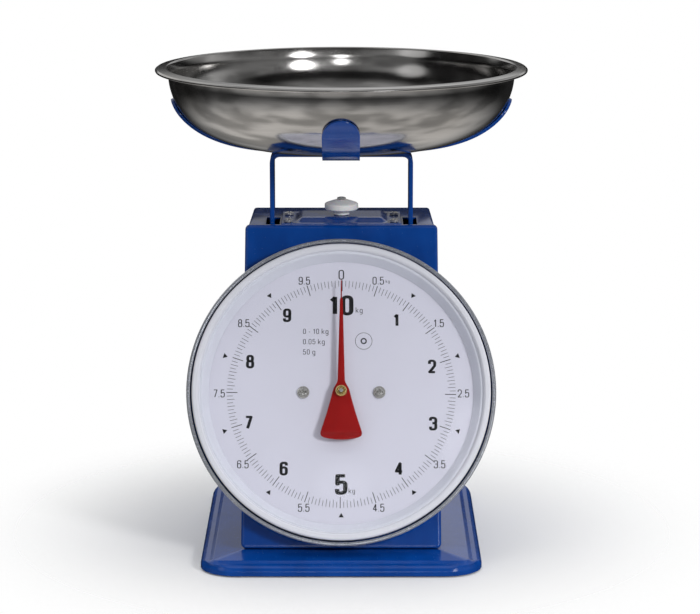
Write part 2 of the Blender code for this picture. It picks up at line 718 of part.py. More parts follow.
flat("movement_plate_front", "brass",
     [[(-18 * MM, -14 * MM), (14 * MM, -14 * MM), (14 * MM, 14 * MM), (-18 * MM, 14 * MM)],
      circle(SPINDLE_R + 0.06 * MM, 32)],
     1.5 * MM, parent=dial, at=(0, 0, -TRAY_SHEET - GAP - 0.75 * MM))
flat("movement_plate_rear", "brass",
     [[(-18 * MM, -12 * MM), (5.5 * MM, -12 * MM), (5.5 * MM, 12 * MM), (-18 * MM, 12 * MM)],
      circle(SPINDLE_R + 0.06 * MM, 32)],
     1.5 * MM, parent=dial, at=(0, 0, PLATE_REAR_H))
PILLAR_TOP = -TRAY_SHEET - 2 * GAP - 1.5 * MM
PILLAR_LOW = PLATE_REAR_H + 0.75 * MM + GAP
for where, y in (("lower", -8 * MM), ("upper", 8 * MM)):
    turned("pillar_" + where, "brass",
           [(0, PILLAR_TOP), (2.5 * MM, PILLAR_TOP), (2.5 * MM, PILLAR_LOW), (0, PILLAR_LOW)],
           steps=16, mat="pillar", parent=dial, at=(-13 * MM, y, 0))

spindle_axis = empty("spindle_axis", parent=dial)
POINTER_T = 0.6 * MM
HUB_H = 3.2 * MM
hub_low = POINTER_H + POINTER_T + GAP
SPINDLE_TOP = hub_low + HUB_H + 1.0 * MM
turned("spindle", "zinc",
       [(0, SPINDLE_TOP), (0.9 * MM, SPINDLE_TOP), (1.2 * MM, SPINDLE_TOP - 0.3 * MM),
        (1.2 * MM, POINTER_H - 1.2 * MM), (SPINDLE_R, POINTER_H - 1.5 * MM),
        (SPINDLE_R, PLATE_REAR_H - 3 * MM), (0, PLATE_REAR_H - 3 * MM)],
       steps=32, parent=spindle_axis)


def pinion_outline():
    """Trapezoid teeth with rounded-off flanks round the pitch circle, a gap at a quarter turn."""
    points = []
    step = 2 * math.pi / PINION_TEETH
    tooth = math.pi * MODULE / 2 - BACKLASH
    for i in range(PINION_TEETH):
        middle = step * (i + 0.5)
        flank = ((PITCH_R - 1.2 * MODULE, 0.78 * tooth), (PITCH_R - 0.35 * MODULE, 0.61 * tooth),
                 (PITCH_R + 0.25 * MODULE, 0.39 * tooth), (PITCH_R + 0.85 * MODULE, 0.16 * tooth))
        for radius, half in flank:
            angle = middle - half / PITCH_R
            points.append((radius * math.cos(angle), radius * math.sin(angle)))
        for radius, half in flank[::-1]:
            angle = middle + half / PITCH_R
            points.append((radius * math.cos(angle), radius * math.sin(angle)))
    return points


PINION_L = 13.5 * MM
flat("pinion", "brass", [pinion_outline(), circle(SPINDLE_R + GAP, 24)], PINION_L,
     parent=spindle_axis, at=(0, 0, RACK_H + 1.6 * MM - PINION_L / 2 + RACK_T / 2))


def rack_outline():
    """A straight rack beside the pinion, one tooth level with the axis, in the dial's plane."""
    pitch = math.pi * MODULE
    tooth = pitch / 2 - BACKLASH
    top_teeth = round((TRAVEL * math.cos(TILT)) / pitch) + 2
    points = []
    for i in range(-2, top_teeth + 1):
        y = i * pitch
        for depth, half in ((1.25, 0.80), (-0.85, 0.20)):
            points.append((PITCH_R + depth * MODULE, y - half * tooth))
        for depth, half in ((-0.85, 0.20), (1.25, 0.80)):
            points.append((PITCH_R + depth * MODULE, y + half * tooth))
    back = PITCH_R + 4.2 * MM
    points.append((PITCH_R + 1.25 * MODULE, points[-1][1] + 2.2 * MM))
    points.append((back, points[-1][1]))
    points.append((back, points[0][1]))
    return points


flat("rack", "brass", [rack_outline()], RACK_T, parent=dial, at=(0, 0, RACK_H))

# Rack arm: a plate on edge from the crossbar forward to the rack's back
ARM_T = 2.5 * MM
dial_place = Vector(dial.location)
up_slope = Vector((0, math.sin(TILT), math.cos(TILT)))
outward = Vector((0, -math.cos(TILT), math.sin(TILT)))
rack_top = dial_place + up_slope * (18.5 * MM) + outward * RACK_H
arm_x = PITCH_R + 4.2 * MM + GAP + ARM_T / 2
arm_mid = CROSSBAR_Z + CROSSBAR_H / 2
flat("rack_arm", "zinc",
     [[(-CROSSBAR_D / 2 - GAP, arm_mid - 2.6 * MM), (-CROSSBAR_D / 2 - GAP, arm_mid + 2.6 * MM),
       (rack_top.y + 6 * MM, arm_mid + 2.6 * MM), (rack_top.y + 3 * MM, rack_top.z + 5 * MM),
       (rack_top.y - 4 * MM, rack_top.z + 5 * MM), (rack_top.y - 5 * MM, rack_top.z - 9 * MM),
       (rack_top.y + 2 * MM, rack_top.z - 10 * MM), (rack_top.y + 8 * MM, arm_mid - 2.6 * MM)]],
     ARM_T, at=(arm_x, 0, 0), turn=(math.pi / 2, 0, math.pi / 2))

# ---------------------------------------------------------------- dial head

drum_floor = PLATE_H - 2.2 * MM
turned("dial_drum", "paint",
       [(DRUM_R - 1.9 * MM, DRUM_H - 0.6 * MM), (DRUM_R - 1.0 * MM, DRUM_H),
        (DRUM_R - 0.3 * MM, DRUM_H - 0.3 * MM), (DRUM_R, DRUM_H - 1.2 * MM),
        (DRUM_R - 0.6 * MM, DRUM_H - 1.8 * MM), (DRUM_R - 1.3 * MM, DRUM_H - 3.0 * MM),
        (DRUM_R - 1.6 * MM, GAP), (DRUM_R - 2.6 * MM, GAP),
        (DRUM_R - 2.6 * MM, drum_floor - 1.0 * MM), (9 * MM, drum_floor - 1.0 * MM),
        (9 * MM, drum_floor), (DRUM_R - 2.6 * MM, drum_floor)],
       ring=True, parent=dial)
turned("dial_plate", "dial_white",
       [(5.0 * MM, PLATE_H), (BEZEL_R - 6 * MM, PLATE_H), (BEZEL_R - 6 * MM, PLATE_H - 0.8 * MM),
        (5.0 * MM, PLATE_H - 0.8 * MM)],
       ring=True, parent=dial)
BEZEL_LOW = PLATE_H + GAP
step_h = BEZEL_H - 2.7 * MM
turned("bezel_ring", "enamel_white",
       [(WINDOW_R, BEZEL_LOW), (BEZEL_R - 7.2 * MM, step_h - 0.4 * MM),
        (BEZEL_R - 4.8 * MM, step_h), (BEZEL_R - 4.0 * MM, BEZEL_H - 0.4 * MM),
        (BEZEL_R - 3.3 * MM, BEZEL_H), (BEZEL_R - 1.0 * MM, BEZEL_H),
        (BEZEL_R, BEZEL_H - 0.9 * MM), (BEZEL_R, PLATE_H - 1.5 * MM),
        (BEZEL_R - 1.1 * MM, PLATE_H - 1.5 * MM), (BEZEL_R - 1.1 * MM, BEZEL_H - 1.6 * MM),
        (BEZEL_R - 2.8 * MM, BEZEL_H - 1.3 * MM), (BEZEL_R - 3.7 * MM, step_h - 1.1 * MM),
        (BEZEL_R - 6.2 * MM, step_h - 1.5 * MM), (WINDOW_R + 1.4 * MM, BEZEL_LOW)],
       ring=True, parent=dial)

LENS_R = BEZEL_R - 5.2 * MM
LENS_T = 1.2 * MM


def lens_profile():
    """A clear dome that sits on the bezel's step, thin all over."""
    low = step_h + GAP
    outer = []
    count = 5
    for i in range(count + 1):
        share = i / count
        outer.append((LENS_R * share, low + LENS_T + LENS_RISE * (1 - share ** 2.4)))
    inner = [(r, z - LENS_T) for r, z in outer[:-1]]
    return outer + [(LENS_R, low)] + inner[::-1]


turned("lens", "clear", lens_profile(), parent=dial)
for side, sx, hole in (("left", -1, screw_holes[0]), ("right", 1, screw_holes[1])):
    for name in ("dial_drum", "dial_plate"):
        cut(bpy.data.objects[name], hole)
    pan_screw("dial_screw_" + side, "zinc", 4.0 * MM, 1.9 * MM, 1.4 * MM, 10.5 * MM,
              "dial_screw", parent=dial, at=(sx * DIAL_SCREW_X, 0, PLATE_H + GAP))


def pointer_outline():
    """The blade: a long taper, a round swell at the hub and a fan-shaped tail."""
    swell = 5.2 * MM
    right = [(0.35 * MM, POINTER_TIP), (0.9 * MM, 62 * MM), (1.5 * MM, 40 * MM),
             (2.4 * MM, 8 * MM), (3.6 * MM, 5.6 * MM)]
    for i in range(5):
        angle = math.radians(52 - 26 * i)
        right.append((swell * math.cos(angle), swell * math.sin(angle)))
    right += [(4.4 * MM, -6.0 * MM), (POINTER_FLARE, 1.6 * MM - POINTER_TAIL),
              (POINTER_FLARE - 0.6 * MM, -POINTER_TAIL - 0.4 * MM),
              (POINTER_FLARE * 0.7, -POINTER_TAIL - 1.8 * MM),
              (POINTER_FLARE * 0.35, -POINTER_TAIL - 2.8 * MM)]
    middle = [(0, -POINTER_TAIL - 3.1 * MM)]
    return right + middle + [(-x, y) for x, y in right[::-1]]


flat("pointer", "red", [pointer_outline(), circle(1.2 * MM + GAP, 20)], POINTER_T,
     parent=spindle_axis, at=(0, 0, POINTER_H + POINTER_T / 2))
turned("pointer_hub", "brass",
       [(3.0 * MM, hub_low + HUB_H), (3.75 * MM, hub_low + HUB_H - 0.6 * MM),
        (3.75 * MM, hub_low), (1.2 * MM + GAP, hub_low), (1.2 * MM + GAP, hub_low + HUB_H)],
       ring=True, steps=24, parent=spindle_axis)

# ---------------------------------------------------------------- stay link

PIN_R = 2.0 * MM
STAY_X = -10.0 * MM
STAY_T = 2.0 * MM
load_pin_z = CROSSBAR_Z - 8.0 * MM
rise = STAY_L * math.sin(STAY_ANGLE)
stay_axis = empty("stay_axis", at=(0, STAY_L * math.cos(STAY_ANGLE), load_pin_z - rise))


def slotted_end(x, y, half_slot, radius, count=16):
    """A round end, drawn out along X by half_slot each way."""
    points = []
    for i in range(count):
        angle = 2 * math.pi * (i + 0.5) / count
        shift = half_slot if math.cos(angle) > 0 else -half_slot
        points.append((x + shift + radius * math.cos(angle), y + radius * math.sin(angle)))
    return points


stay = flat("stay_link", "zinc",
            [slotted_end(-STAY_L / 2, 0, STAY_L / 2 + 1.5 * MM, 5.0 * MM),
             slotted_end(0, 0, 0, PIN_R + 0.1 * MM),
             slotted_end(-STAY_L, 0, 1.3 * MM, PIN_R + 0.15 * MM)],
            STAY_T, parent=stay_axis, at=(STAY_X, 0, 0),
            turn=(math.pi / 2, 0, math.pi / 2))
stay.rotation_euler = (Matrix.Rotation(-STAY_ANGLE, 3, "X")
                       @ Matrix(((0, 0, 1), (1, 0, 0), (0, 1, 0)))).to_euler()
flat("stay_lug", "zinc",
     [[(-5 * MM, -5 * MM), (5 * MM, -5 * MM), (5 * MM, 8 * MM - GAP), (-5 * MM, 8 * MM - GAP)],
      circle(PIN_R + GAP, 20)],
     STAY_T, at=(STAY_X + STAY_T + 0.5 * MM, 0, load_pin_z), turn=(math.pi / 2, 0, math.pi / 2))
bracket_reach = back_y(stay_axis.location.z) - SHEET - GAP - 0.8 * MM - stay_axis.location.y
flat("stay_bracket", "zinc",
     [[(-5 * MM, -6 * MM), (bracket_reach, -10 * MM), (bracket_reach, 10 * MM), (-5 * MM, 6 * MM)],
      circle(PIN_R + GAP, 20)],
     STAY_T, parent=stay_axis, at=(STAY_X + STAY_T + 0.5 * MM, 0, 0),
     turn=(math.pi / 2, 0, math.pi / 2))
PIN_L = 2 * STAY_T + 4.5 * MM
for name, place in (("stay_pin_load", Vector((0, 0, load_pin_z))),
                    ("stay_pin_housing", stay_axis.location)):
    turned(name, "zinc",
           [(0, PIN_L / 2), (PIN_R, PIN_L / 2), (PIN_R, -PIN_L / 2), (0, -PIN_L / 2)],
           steps=24, mat="stay_pin",
           at=(STAY_X + STAY_T / 2 + 0.25 * MM, place.y, place.z), turn=(0, math.pi / 2, 0))
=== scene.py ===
"""Spring dial kitchen scale: finished surfaces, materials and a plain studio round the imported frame.

Every piece is a surface worked out as whole arrays and put in place in metres. Round pieces are
turned profiles, pressed pieces are stacks of rounded loops, and strips are sections carried along
a path. Sizes that the frame already holds are read from it.
"""

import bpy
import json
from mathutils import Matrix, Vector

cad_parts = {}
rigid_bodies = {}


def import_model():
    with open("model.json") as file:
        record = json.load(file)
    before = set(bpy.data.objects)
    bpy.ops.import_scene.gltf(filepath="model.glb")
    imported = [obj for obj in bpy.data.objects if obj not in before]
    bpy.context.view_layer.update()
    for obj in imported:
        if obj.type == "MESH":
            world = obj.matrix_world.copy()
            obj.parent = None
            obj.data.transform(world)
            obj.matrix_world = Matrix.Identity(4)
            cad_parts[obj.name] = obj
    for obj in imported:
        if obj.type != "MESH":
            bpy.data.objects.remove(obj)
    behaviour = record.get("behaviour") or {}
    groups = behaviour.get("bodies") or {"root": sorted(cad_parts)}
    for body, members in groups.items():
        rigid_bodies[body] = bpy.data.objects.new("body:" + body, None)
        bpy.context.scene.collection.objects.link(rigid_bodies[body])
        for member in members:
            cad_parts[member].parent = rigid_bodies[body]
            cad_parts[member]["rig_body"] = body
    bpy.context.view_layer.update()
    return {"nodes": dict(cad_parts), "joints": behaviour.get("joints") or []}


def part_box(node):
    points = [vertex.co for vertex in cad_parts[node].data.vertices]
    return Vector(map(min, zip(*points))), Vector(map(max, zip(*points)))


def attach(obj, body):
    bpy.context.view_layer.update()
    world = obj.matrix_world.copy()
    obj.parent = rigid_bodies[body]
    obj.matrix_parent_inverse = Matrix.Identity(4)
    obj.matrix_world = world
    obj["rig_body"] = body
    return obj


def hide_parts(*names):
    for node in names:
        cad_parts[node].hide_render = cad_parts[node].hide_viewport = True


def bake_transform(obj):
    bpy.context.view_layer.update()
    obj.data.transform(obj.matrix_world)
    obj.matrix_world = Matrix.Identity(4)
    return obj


bl_info = {
    "name": "Kitchen Scale",
    "version": (1, 0, 0),
    "blender": (4, 5, 0),
    "location": "View3D > Sidebar > Scale",
    "description": "Builds a spring dial kitchen scale piece by piece",
    "category": "Add Mesh",
}

import json
import math

import bmesh
import bpy
import numpy as np
from bpy.props import FloatProperty, FloatVectorProperty, IntProperty, PointerProperty
from mathutils import Matrix, Vector

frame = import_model()

MM = 0.001
TURN = 2 * math.pi
RIGHT = np.array([1.0, 0.0, 0.0])
UP = np.array([0.0, 0.0, 1.0])


# ---------------------------------------------------------------- settings

def length(name, description, millimetres):
    """A length setting, given in millimetres and kept in metres."""
    return FloatProperty(name=name, description=description, default=millimetres * MM,
                         unit="LENGTH", precision=5)


def colour(name, description, red, green, blue):
    """A colour setting."""
    return FloatVectorProperty(name=name, description=description, default=(red, green, blue),
                               subtype="COLOR", min=0.0, max=1.0)


def share(name, description, value):
    """A setting from 0 to 1."""
    return FloatProperty(name=name, description=description, default=value, subtype="FACTOR",
                         min=0.0, max=1.0)


class ScaleFinishes(bpy.types.PropertyGroup):
    blue: colour("Blue enamel", "Stoved enamel on the pressed steel", 0.0022, 0.060, 0.32)
    blue_deep: colour("Deep blue", "Where the enamel ran thicker", 0.0014, 0.044, 0.245)
    enamel_gloss: share("Enamel roughness", "Roughness of the blue enamel", 0.17)
    white: colour("White enamel", "Bezel ring", 0.74, 0.75, 0.82)
    dial: colour("Dial white", "Ground of the printed dial", 0.73, 0.72, 0.81)
    ink: colour("Ink", "Printed marks", 0.012, 0.012, 0.014)
    red: colour("Pointer red", "Lacquer of the pointer", 0.31, 0.0045, 0.004)
    steel: colour("Stainless steel", "Spun bowl", 0.56, 0.55, 0.54)
    zinc: colour("Zinc", "Plated screws and inner steel", 0.62, 0.61, 0.58)
    brass: colour("Brass", "Hub and movement", 0.74, 0.53, 0.20)
    knob: colour("Knob plastic", "Zero adjusting knob", 0.88, 0.87, 0.86)


class BowlSizes(bpy.types.PropertyGroup):
    sheet: length("Sheet", "Thickness of the bowl's steel", 1.0)
    rim_width: length("Rim width", "Flat flange outside the wall", 8.7)
    floor_radius: length("Floor radius", "Flat middle of the floor", 38.0)
    floor_ring: length("Floor ring", "Depth of the pressed line round the floor", 0.35)
    flat_power: FloatProperty(name="Flatness", description="How flat the section starts",
                              default=3.53)
    round_power: FloatProperty(name="Roundness", description="How upright the section ends",
                               default=2.28)


class DialSizes(bpy.types.PropertyGroup):
    marks: IntProperty(name="Graduations", description="Marks round the dial", default=200)
    tick_radius: length("Graduation radius", "Outer ends of the marks", 76.0)
    long_mark: length("Long mark", "Mark at each half kilogram", 7.3)
    middle_mark: length("Middle mark", "Every second mark", 5.0)
    short_mark: length("Short mark", "The marks between", 3.9)
    numeral: length("Numeral", "Height of the whole kilograms", 9.1)
    big_numeral: length("Big numeral", "Height of the 10 and the 5", 13.6)
    small_numeral: length("Small numeral", "Height of the half kilograms", 5.3)
    ink_height: length("Ink height", "How far the print stands on the plate", 0.04)


class SheetSizes(bpy.types.PropertyGroup):
    edge: length("Edge", "Rounding of a pressed edge", 2.2)
    corner: length("Corner", "Rounding of the front panel's corners", 3.2)
    strap_width: length("Strap width", "Width of the straps", 22.0)
    strap_sheet: length("Strap thickness", "Thickness of the straps", 3.0)
    cross_width: length("Cross width", "Width of the cross's arms", 24.4)
    cross_sheet: length("Cross thickness", "Thickness of the cross", 2.0)


class ScaleSettings(bpy.types.PropertyGroup):
    finishes: PointerProperty(type=ScaleFinishes)
    bowl: PointerProperty(type=BowlSizes)
    dial: PointerProperty(type=DialSizes)
    sheet: PointerProperty(type=SheetSizes)


def settings():
    """The sizes and colours kept on the scene."""
    return bpy.context.scene.kitchen_scale


# ---------------------------------------------------------------- places read from the frame

def corners_of(node):
    """All of a node's corner points at rest, as an array."""
    mesh = frame["nodes"][node].data
    flat = np.empty(len(mesh.vertices) * 3)
    mesh.vertices.foreach_get("co", flat)
    return flat.reshape(-1, 3)


def span(node, direction, origin=(0, 0, 0)):
    """Lowest and highest reach of a node along a direction, counted from the origin."""
    along = (corners_of(node) - np.array(origin)) @ direction
    return along.min(), along.max()


def joint(name):
    return next(item for item in frame["joints"] if item["name"] == name)


SPIN = joint("pointer_spin")
DIAL_CENTRE = np.array(SPIN["pos_m"])
DIAL_OUT = -np.array(SPIN["axis"]) / np.linalg.norm(SPIN["axis"])
DIAL_UP = np.cross(DIAL_OUT, RIGHT)
LEAN = math.asin(DIAL_OUT[2])


def on_dial(points):
    """Dial coordinates (right, up the slope, out of the dial) to places in the frame."""
    return DIAL_CENTRE + np.asarray(points, float) @ np.stack([RIGHT, DIAL_UP, DIAL_OUT])


def standing(points, origin, up, right=RIGHT):
    """Local coordinates whose third axis is up, moved to the origin."""
    side = np.cross(up, right)
    return np.array(origin) + np.asarray(points, float) @ np.stack([right, side, up])


# ---------------------------------------------------------------- surfaces

def smooth_rise(value):
    """0 below 0 and 1 above 1, with 3t^2 - 2t^3 between."""
    t = np.clip(value, 0.0, 1.0)
    return t * t * (3 - 2 * t)


def rounded_path(corners, radii, closed=False, steps=5):
    """A line through corners, each bent to a curve of about its radius.

    Each corner gives way to the quadratic curve from the tangent point before it to the one
    after it: (1-t)^2 a + 2t(1-t) corner + t^2 b.
    """
    here = np.array(corners, float)
    before = np.roll(here, 1, 0) - here
    after = np.roll(here, -1, 0) - here
    long_before = np.maximum(np.linalg.norm(before, axis=1), 1e-9)
    long_after = np.maximum(np.linalg.norm(after, axis=1), 1e-9)
    cosine = (before * after).sum(1) / (long_before * long_after)
    half = np.arccos(np.clip(cosine, -0.99999, 0.99999)) / 2
    radii = np.broadcast_to(np.array(radii, float), half.shape)
    reach = np.minimum(radii / np.tan(half), 0.49 * np.minimum(long_before, long_after))
    if not closed:
        reach[[0, -1]] = 0.0
    start = here + before * (reach / long_before)[:, None]
    end = here + after * (reach / long_after)[:, None]
    t = np.linspace(0, 1, steps + 1)[None, :, None]
    curve = (1 - t) ** 2 * start[:, None] + 2 * t * (1 - t) * here[:, None] + t ** 2 * end[:, None]
    return curve.reshape(-1, here.shape[1])


def turned(profile, segments=160):
    """A profile of (radius, height) swept round: x = r cos a, y = r sin a, z = height."""
    angle = np.linspace(0, TURN, segments, endpoint=False)
    radius, height = np.asarray(profile, float).T
    return np.stack([radius[:, None] * np.cos(angle), radius[:, None] * np.sin(angle),
                     np.broadcast_to(height[:, None], (len(radius), segments))], -1)


def loops(half_x, half_y, radius, steps=8):
    """Rounded rectangles, one row each: four quarter circles joined by straight sides."""
    angle = np.linspace(0, TURN / 4, steps + 1)[None] + np.arange(4)[:, None] * TURN / 4
    side = np.array([[1, 1], [-1, 1], [-1, -1], [1, -1]], float)
    half = np.stack([half_x - radius, half_y - radius], -1)
    circle = np.stack([np.cos(angle), np.sin(angle)], -1)
    ring = half[:, None, None] * side[None, :, None] + radius[:, None, None, None] * circle[None]
    return ring.reshape(len(half), -1, 2)


def section_ring(half_width, half_height, radius, steps=4):
    """A rounded rectangle as one closed line of (side, thickness) points."""
    return loops(np.array([half_width]), np.array([half_height]), np.array([radius]), steps)[0]


def carried(path, side, normal, section, width=None):
    """A section carried along a path: path + side * across + normal * thickness.

    width scales the section's first coordinate at each point of the path. Both ends are closed
    by a row drawn in to the middle.
    """
    width = np.ones(len(path)) if width is None else width
    grid = (path[:, None] + side[:, None] * (section[:, 0] * width[:, None])[..., None]
            + normal[:, None] * section[None, :, 1, None])
    ends = [np.broadcast_to(row.mean(0), row.shape)[None] for row in (grid[0], grid[-1])]
    return np.concatenate([ends[0], grid, ends[1]])


def faces_of(rows, columns, wrap_rows, wrap_columns):
    """The corner numbers of a grid's faces, with its rows or columns joined end to end."""
    row, column = np.meshgrid(np.arange(rows - (not wrap_rows)),
                              np.arange(columns - (not wrap_columns)), indexing="ij")
    next_row, next_column = (row + 1) % rows, (column + 1) % columns
    return np.stack([row * columns + column, row * columns + next_column,
                     next_row * columns + next_column, next_row * columns + column],
                    -1).reshape(-1, 4)


def mesh_of(name, grids, merge=1e-6, upward=False):
    """One mesh from grids of points, each (points, rows joined, columns joined).

    Points that meet become one, which closes seams and poles, and the faces are turned outwards,
    or upwards on an open sheet.
    """
    points, faces, start = [], [], 0
    for grid, wrap_rows, wrap_columns in grids:
        rows, columns = grid.shape[:2]
        points.append(grid.reshape(-1, 3))
        faces.append(faces_of(rows, columns, wrap_rows, wrap_columns) + start)
        start += rows * columns
    mesh = bpy.data.meshes.new(name)
    mesh.from_pydata(np.concatenate(points).tolist(), [], np.concatenate(faces).tolist())
    bm = bmesh.new()
    bm.from_mesh(mesh)
    bmesh.ops.remove_doubles(bm, verts=bm.verts, dist=merge)
    bmesh.ops.dissolve_degenerate(bm, edges=bm.edges, dist=merge)
    bmesh.ops.recalc_face_normals(bm, faces=bm.faces)
    if upward and sum(face.normal.z * face.calc_area() for face in bm.faces) < 0:
        bmesh.ops.reverse_faces(bm, faces=bm.faces)
    bm.to_mesh(mesh)
    bm.free()
    return mesh


def finish_piece(name, mesh, finish, body, stands_for=(), sharp=40):
    """Puts a mesh into the scene as a piece that rides on a body."""
    piece = bpy.data.objects.new(name, mesh)
    bpy.context.scene.collection.objects.link(piece)
    mesh.shade_smooth()
    mesh.set_sharp_from_angle(angle=math.radians(sharp))
    mesh.materials.clear()
    mesh.materials.append(finish)
    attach(piece, body)
    if stands_for:
        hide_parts(*stands_for)
    return piece


def sheet_piece(piece, thickness, edge, segments=2):
    """Gives an open surface its sheet thickness, below its face, and rounds its cut edges."""
    solid = piece.modifiers.new("sheet", "SOLIDIFY")
    solid.thickness = thickness
    solid.offset = -1
    solid.use_even_offset = True
    bevel = piece.modifiers.new("edge", "BEVEL")
    bevel.width = edge
    bevel.segments = segments
    bevel.limit_method = "ANGLE"
    bevel.angle_limit = math.radians(50)
    bevel.harden_normals = False


def merged_copy(node, name, finish, edge=0.0):
    """A copy of a frame node with its loose triangles joined, its curves shaded smooth."""
    mesh = frame["nodes"][node].data.copy()
    bm = bmesh.new()
    bm.from_mesh(mesh)
    bmesh.ops.remove_doubles(bm, verts=bm.verts, dist=2e-6)
    bmesh.ops.dissolve_limit(bm, angle_limit=math.radians(0.4), verts=bm.verts, edges=bm.edges)
    bm.to_mesh(mesh)
    bm.free()
    body = frame["nodes"][node]["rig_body"]
    piece = finish_piece(name, mesh, finish, body, (node,), sharp=32)
    if edge:
        bevel = piece.modifiers.new("edge", "BEVEL")
        bevel.width = edge
        bevel.segments = 2
        bevel.limit_method = "ANGLE"
        bevel.angle_limit = math.radians(50)
    return piece


# ---------------------------------------------------------------- shader maths

class Value:
    """A shader socket that can be used in arithmetic: each operator adds its Math node."""

    def __init__(self, shader, socket):
        self.shader = shader
        self.socket = socket

    def maths(self, operation, *values):
        return self.shader.node("ShaderNodeMath", {"operation": operation},
                                dict(enumerate(values)))

    def __add__(self, other):
        return self.maths("ADD", self, other)

    def __radd__(self, other):
        return self.maths("ADD", other, self)

    def __sub__(self, other):
        return self.maths("SUBTRACT", self, other)

    def __rsub__(self, other):
        return self.maths("SUBTRACT", other, self)

    def __mul__(self, other):
        return self.maths("MULTIPLY", self, other)

    def __rmul__(self, other):
        return self.maths("MULTIPLY", other, self)

    def __truediv__(self, other):
        return self.maths("DIVIDE", self, other)

    def __pow__(self, power):
        return self.maths("POWER", self, power)

    def above(self, edge, softness):
        """0 under the edge and 1 over it, with a soft step between."""
        return self.shader.node(
            "ShaderNodeMapRange", {"interpolation_type": "SMOOTHSTEP"},
            {"Value": self, "From Min": edge, "From Max": edge + softness})


class Shader:
    """A material under construction: a Principled shader and the nodes that feed it."""

    def __init__(self, name, **constants):
        self.material = bpy.data.materials.new(name)
        self.material.use_nodes = True
        self.tree = self.material.node_tree
        self.surface = self.tree.nodes["Principled BSDF"]
        for socket, value in constants.items():
            self.surface.inputs[socket.replace("_", " ")].default_value = value

    def node(self, kind, options=None, inputs=None, output=0):
        """Any other node: its options are set first, then its sockets' values or links."""
        made = self.tree.nodes.new(kind)
        for option, value in (options or {}).items():
            if option == "stops":
                for element, (position, tone) in zip(made.color_ramp.elements, value):
                    element.position = position
                    element.color = (tone, tone, tone, 1)
            else:
                setattr(made, option, value)
        for socket, value in (inputs or {}).items():
            if isinstance(value, Value):
                self.tree.links.new(value.socket, made.inputs[socket])
            else:
                made.inputs[socket].default_value = value
        return Value(self, made.outputs[output])

    def feed(self, **sockets):
        for socket, value in sockets.items():
            self.tree.links.new(value.socket, self.surface.inputs[socket.replace("_", " ")])

    def place(self):
        return self.node("ShaderNodeTexCoord", output="Object")

    def parts(self, vector):
        """The three coordinates of a vector."""
        split = self.node("ShaderNodeSeparateXYZ", None, {0: vector})
        return [Value(self, socket) for socket in split.socket.node.outputs]

    def vector(self, x, y, z):
        return self.node("ShaderNodeCombineXYZ", None, {0: x, 1: y, 2: z})

    def noise(self, scale, detail=3.0, roughness=0.5, at=None, stretch=None):
        """Cloudy noise, 0 to 1, with so many features a metre, drawn out by stretch."""
        at = at or self.place()
        if stretch:
            at = self.node("ShaderNodeMapping", None, {"Vector": at, "Scale": stretch})
        return self.node("ShaderNodeTexNoise", None,
                         {"Vector": at, "Scale": scale, "Detail": detail, "Roughness": roughness})

    def specks(self, scale, edge, softness=0.04):
        """Small round specks: 1 in the middle of a few cells, 0 elsewhere."""
        near = self.node("ShaderNodeTexVoronoi", None, {"Vector": self.place(), "Scale": scale})
        return 1.0 - near.above(edge, softness)

    def mix(self, factor, one, two):
        """A colour between two, one where the factor is 0."""
        inputs = {0: factor}
        for socket, tint in ((6, one), (7, two)):
            inputs[socket] = tint if isinstance(tint, Value) else (*tint, 1.0)
        return self.node("ShaderNodeMix", {"data_type": "RGBA"}, inputs, output=2)

    def bump(self, height, distance, strength=1.0, over=None):
        inputs = {"Height": height, "Distance": distance, "Strength": strength}
        if over is not None:
            inputs["Normal"] = over
        return self.node("ShaderNodeBump", None, inputs)


def scaled(tint, factor):
    """A colour made lighter or darker, held at white."""
    return tuple(min(channel * factor, 1.0) for channel in tint)


def built_once(build):
    """A finish that is made at its first call; later calls give the material of its name."""
    def finish():
        return bpy.data.materials.get(build.__name__) or build()
    return finish


# ---------------------------------------------------------------- finishes

@built_once
def blue_enamel():
    """Dipped and stoved blue enamel: uneven depth, faint orange peel, dust nibs and sheet waves."""
    tint = settings().finishes
    shader = Shader("blue_enamel", Coat_Weight=0.35, Coat_Roughness=0.05, IOR=1.50)
    cloud = shader.noise(26.0, 4.0)
    nibs = shader.specks(330.0, 0.055)
    runs = shader.noise(90.0, 3.0, stretch=(1.0, 1.0, 0.18))
    depth = (cloud * 0.6 + runs * 0.4).above(0.36, 0.3)
    base = shader.mix(depth, tuple(tint.blue_deep), tuple(tint.blue))
    base = shader.mix(nibs * 0.25, base, (0.04, 0.13, 0.40))
    smear = shader.noise(55.0, 5.0, 0.65).above(0.52, 0.2)
    rough = smear * 0.10 + nibs * 0.2 + tint.enamel_gloss
    peel = shader.noise(520.0, 2.0)
    waves = shader.noise(13.0, 1.0)
    height = peel * 0.10 + waves * 1.0 + nibs * 0.25
    shader.feed(Base_Color=base, Roughness=rough, Normal=shader.bump(height, 0.0007, 0.35))
    return shader.material


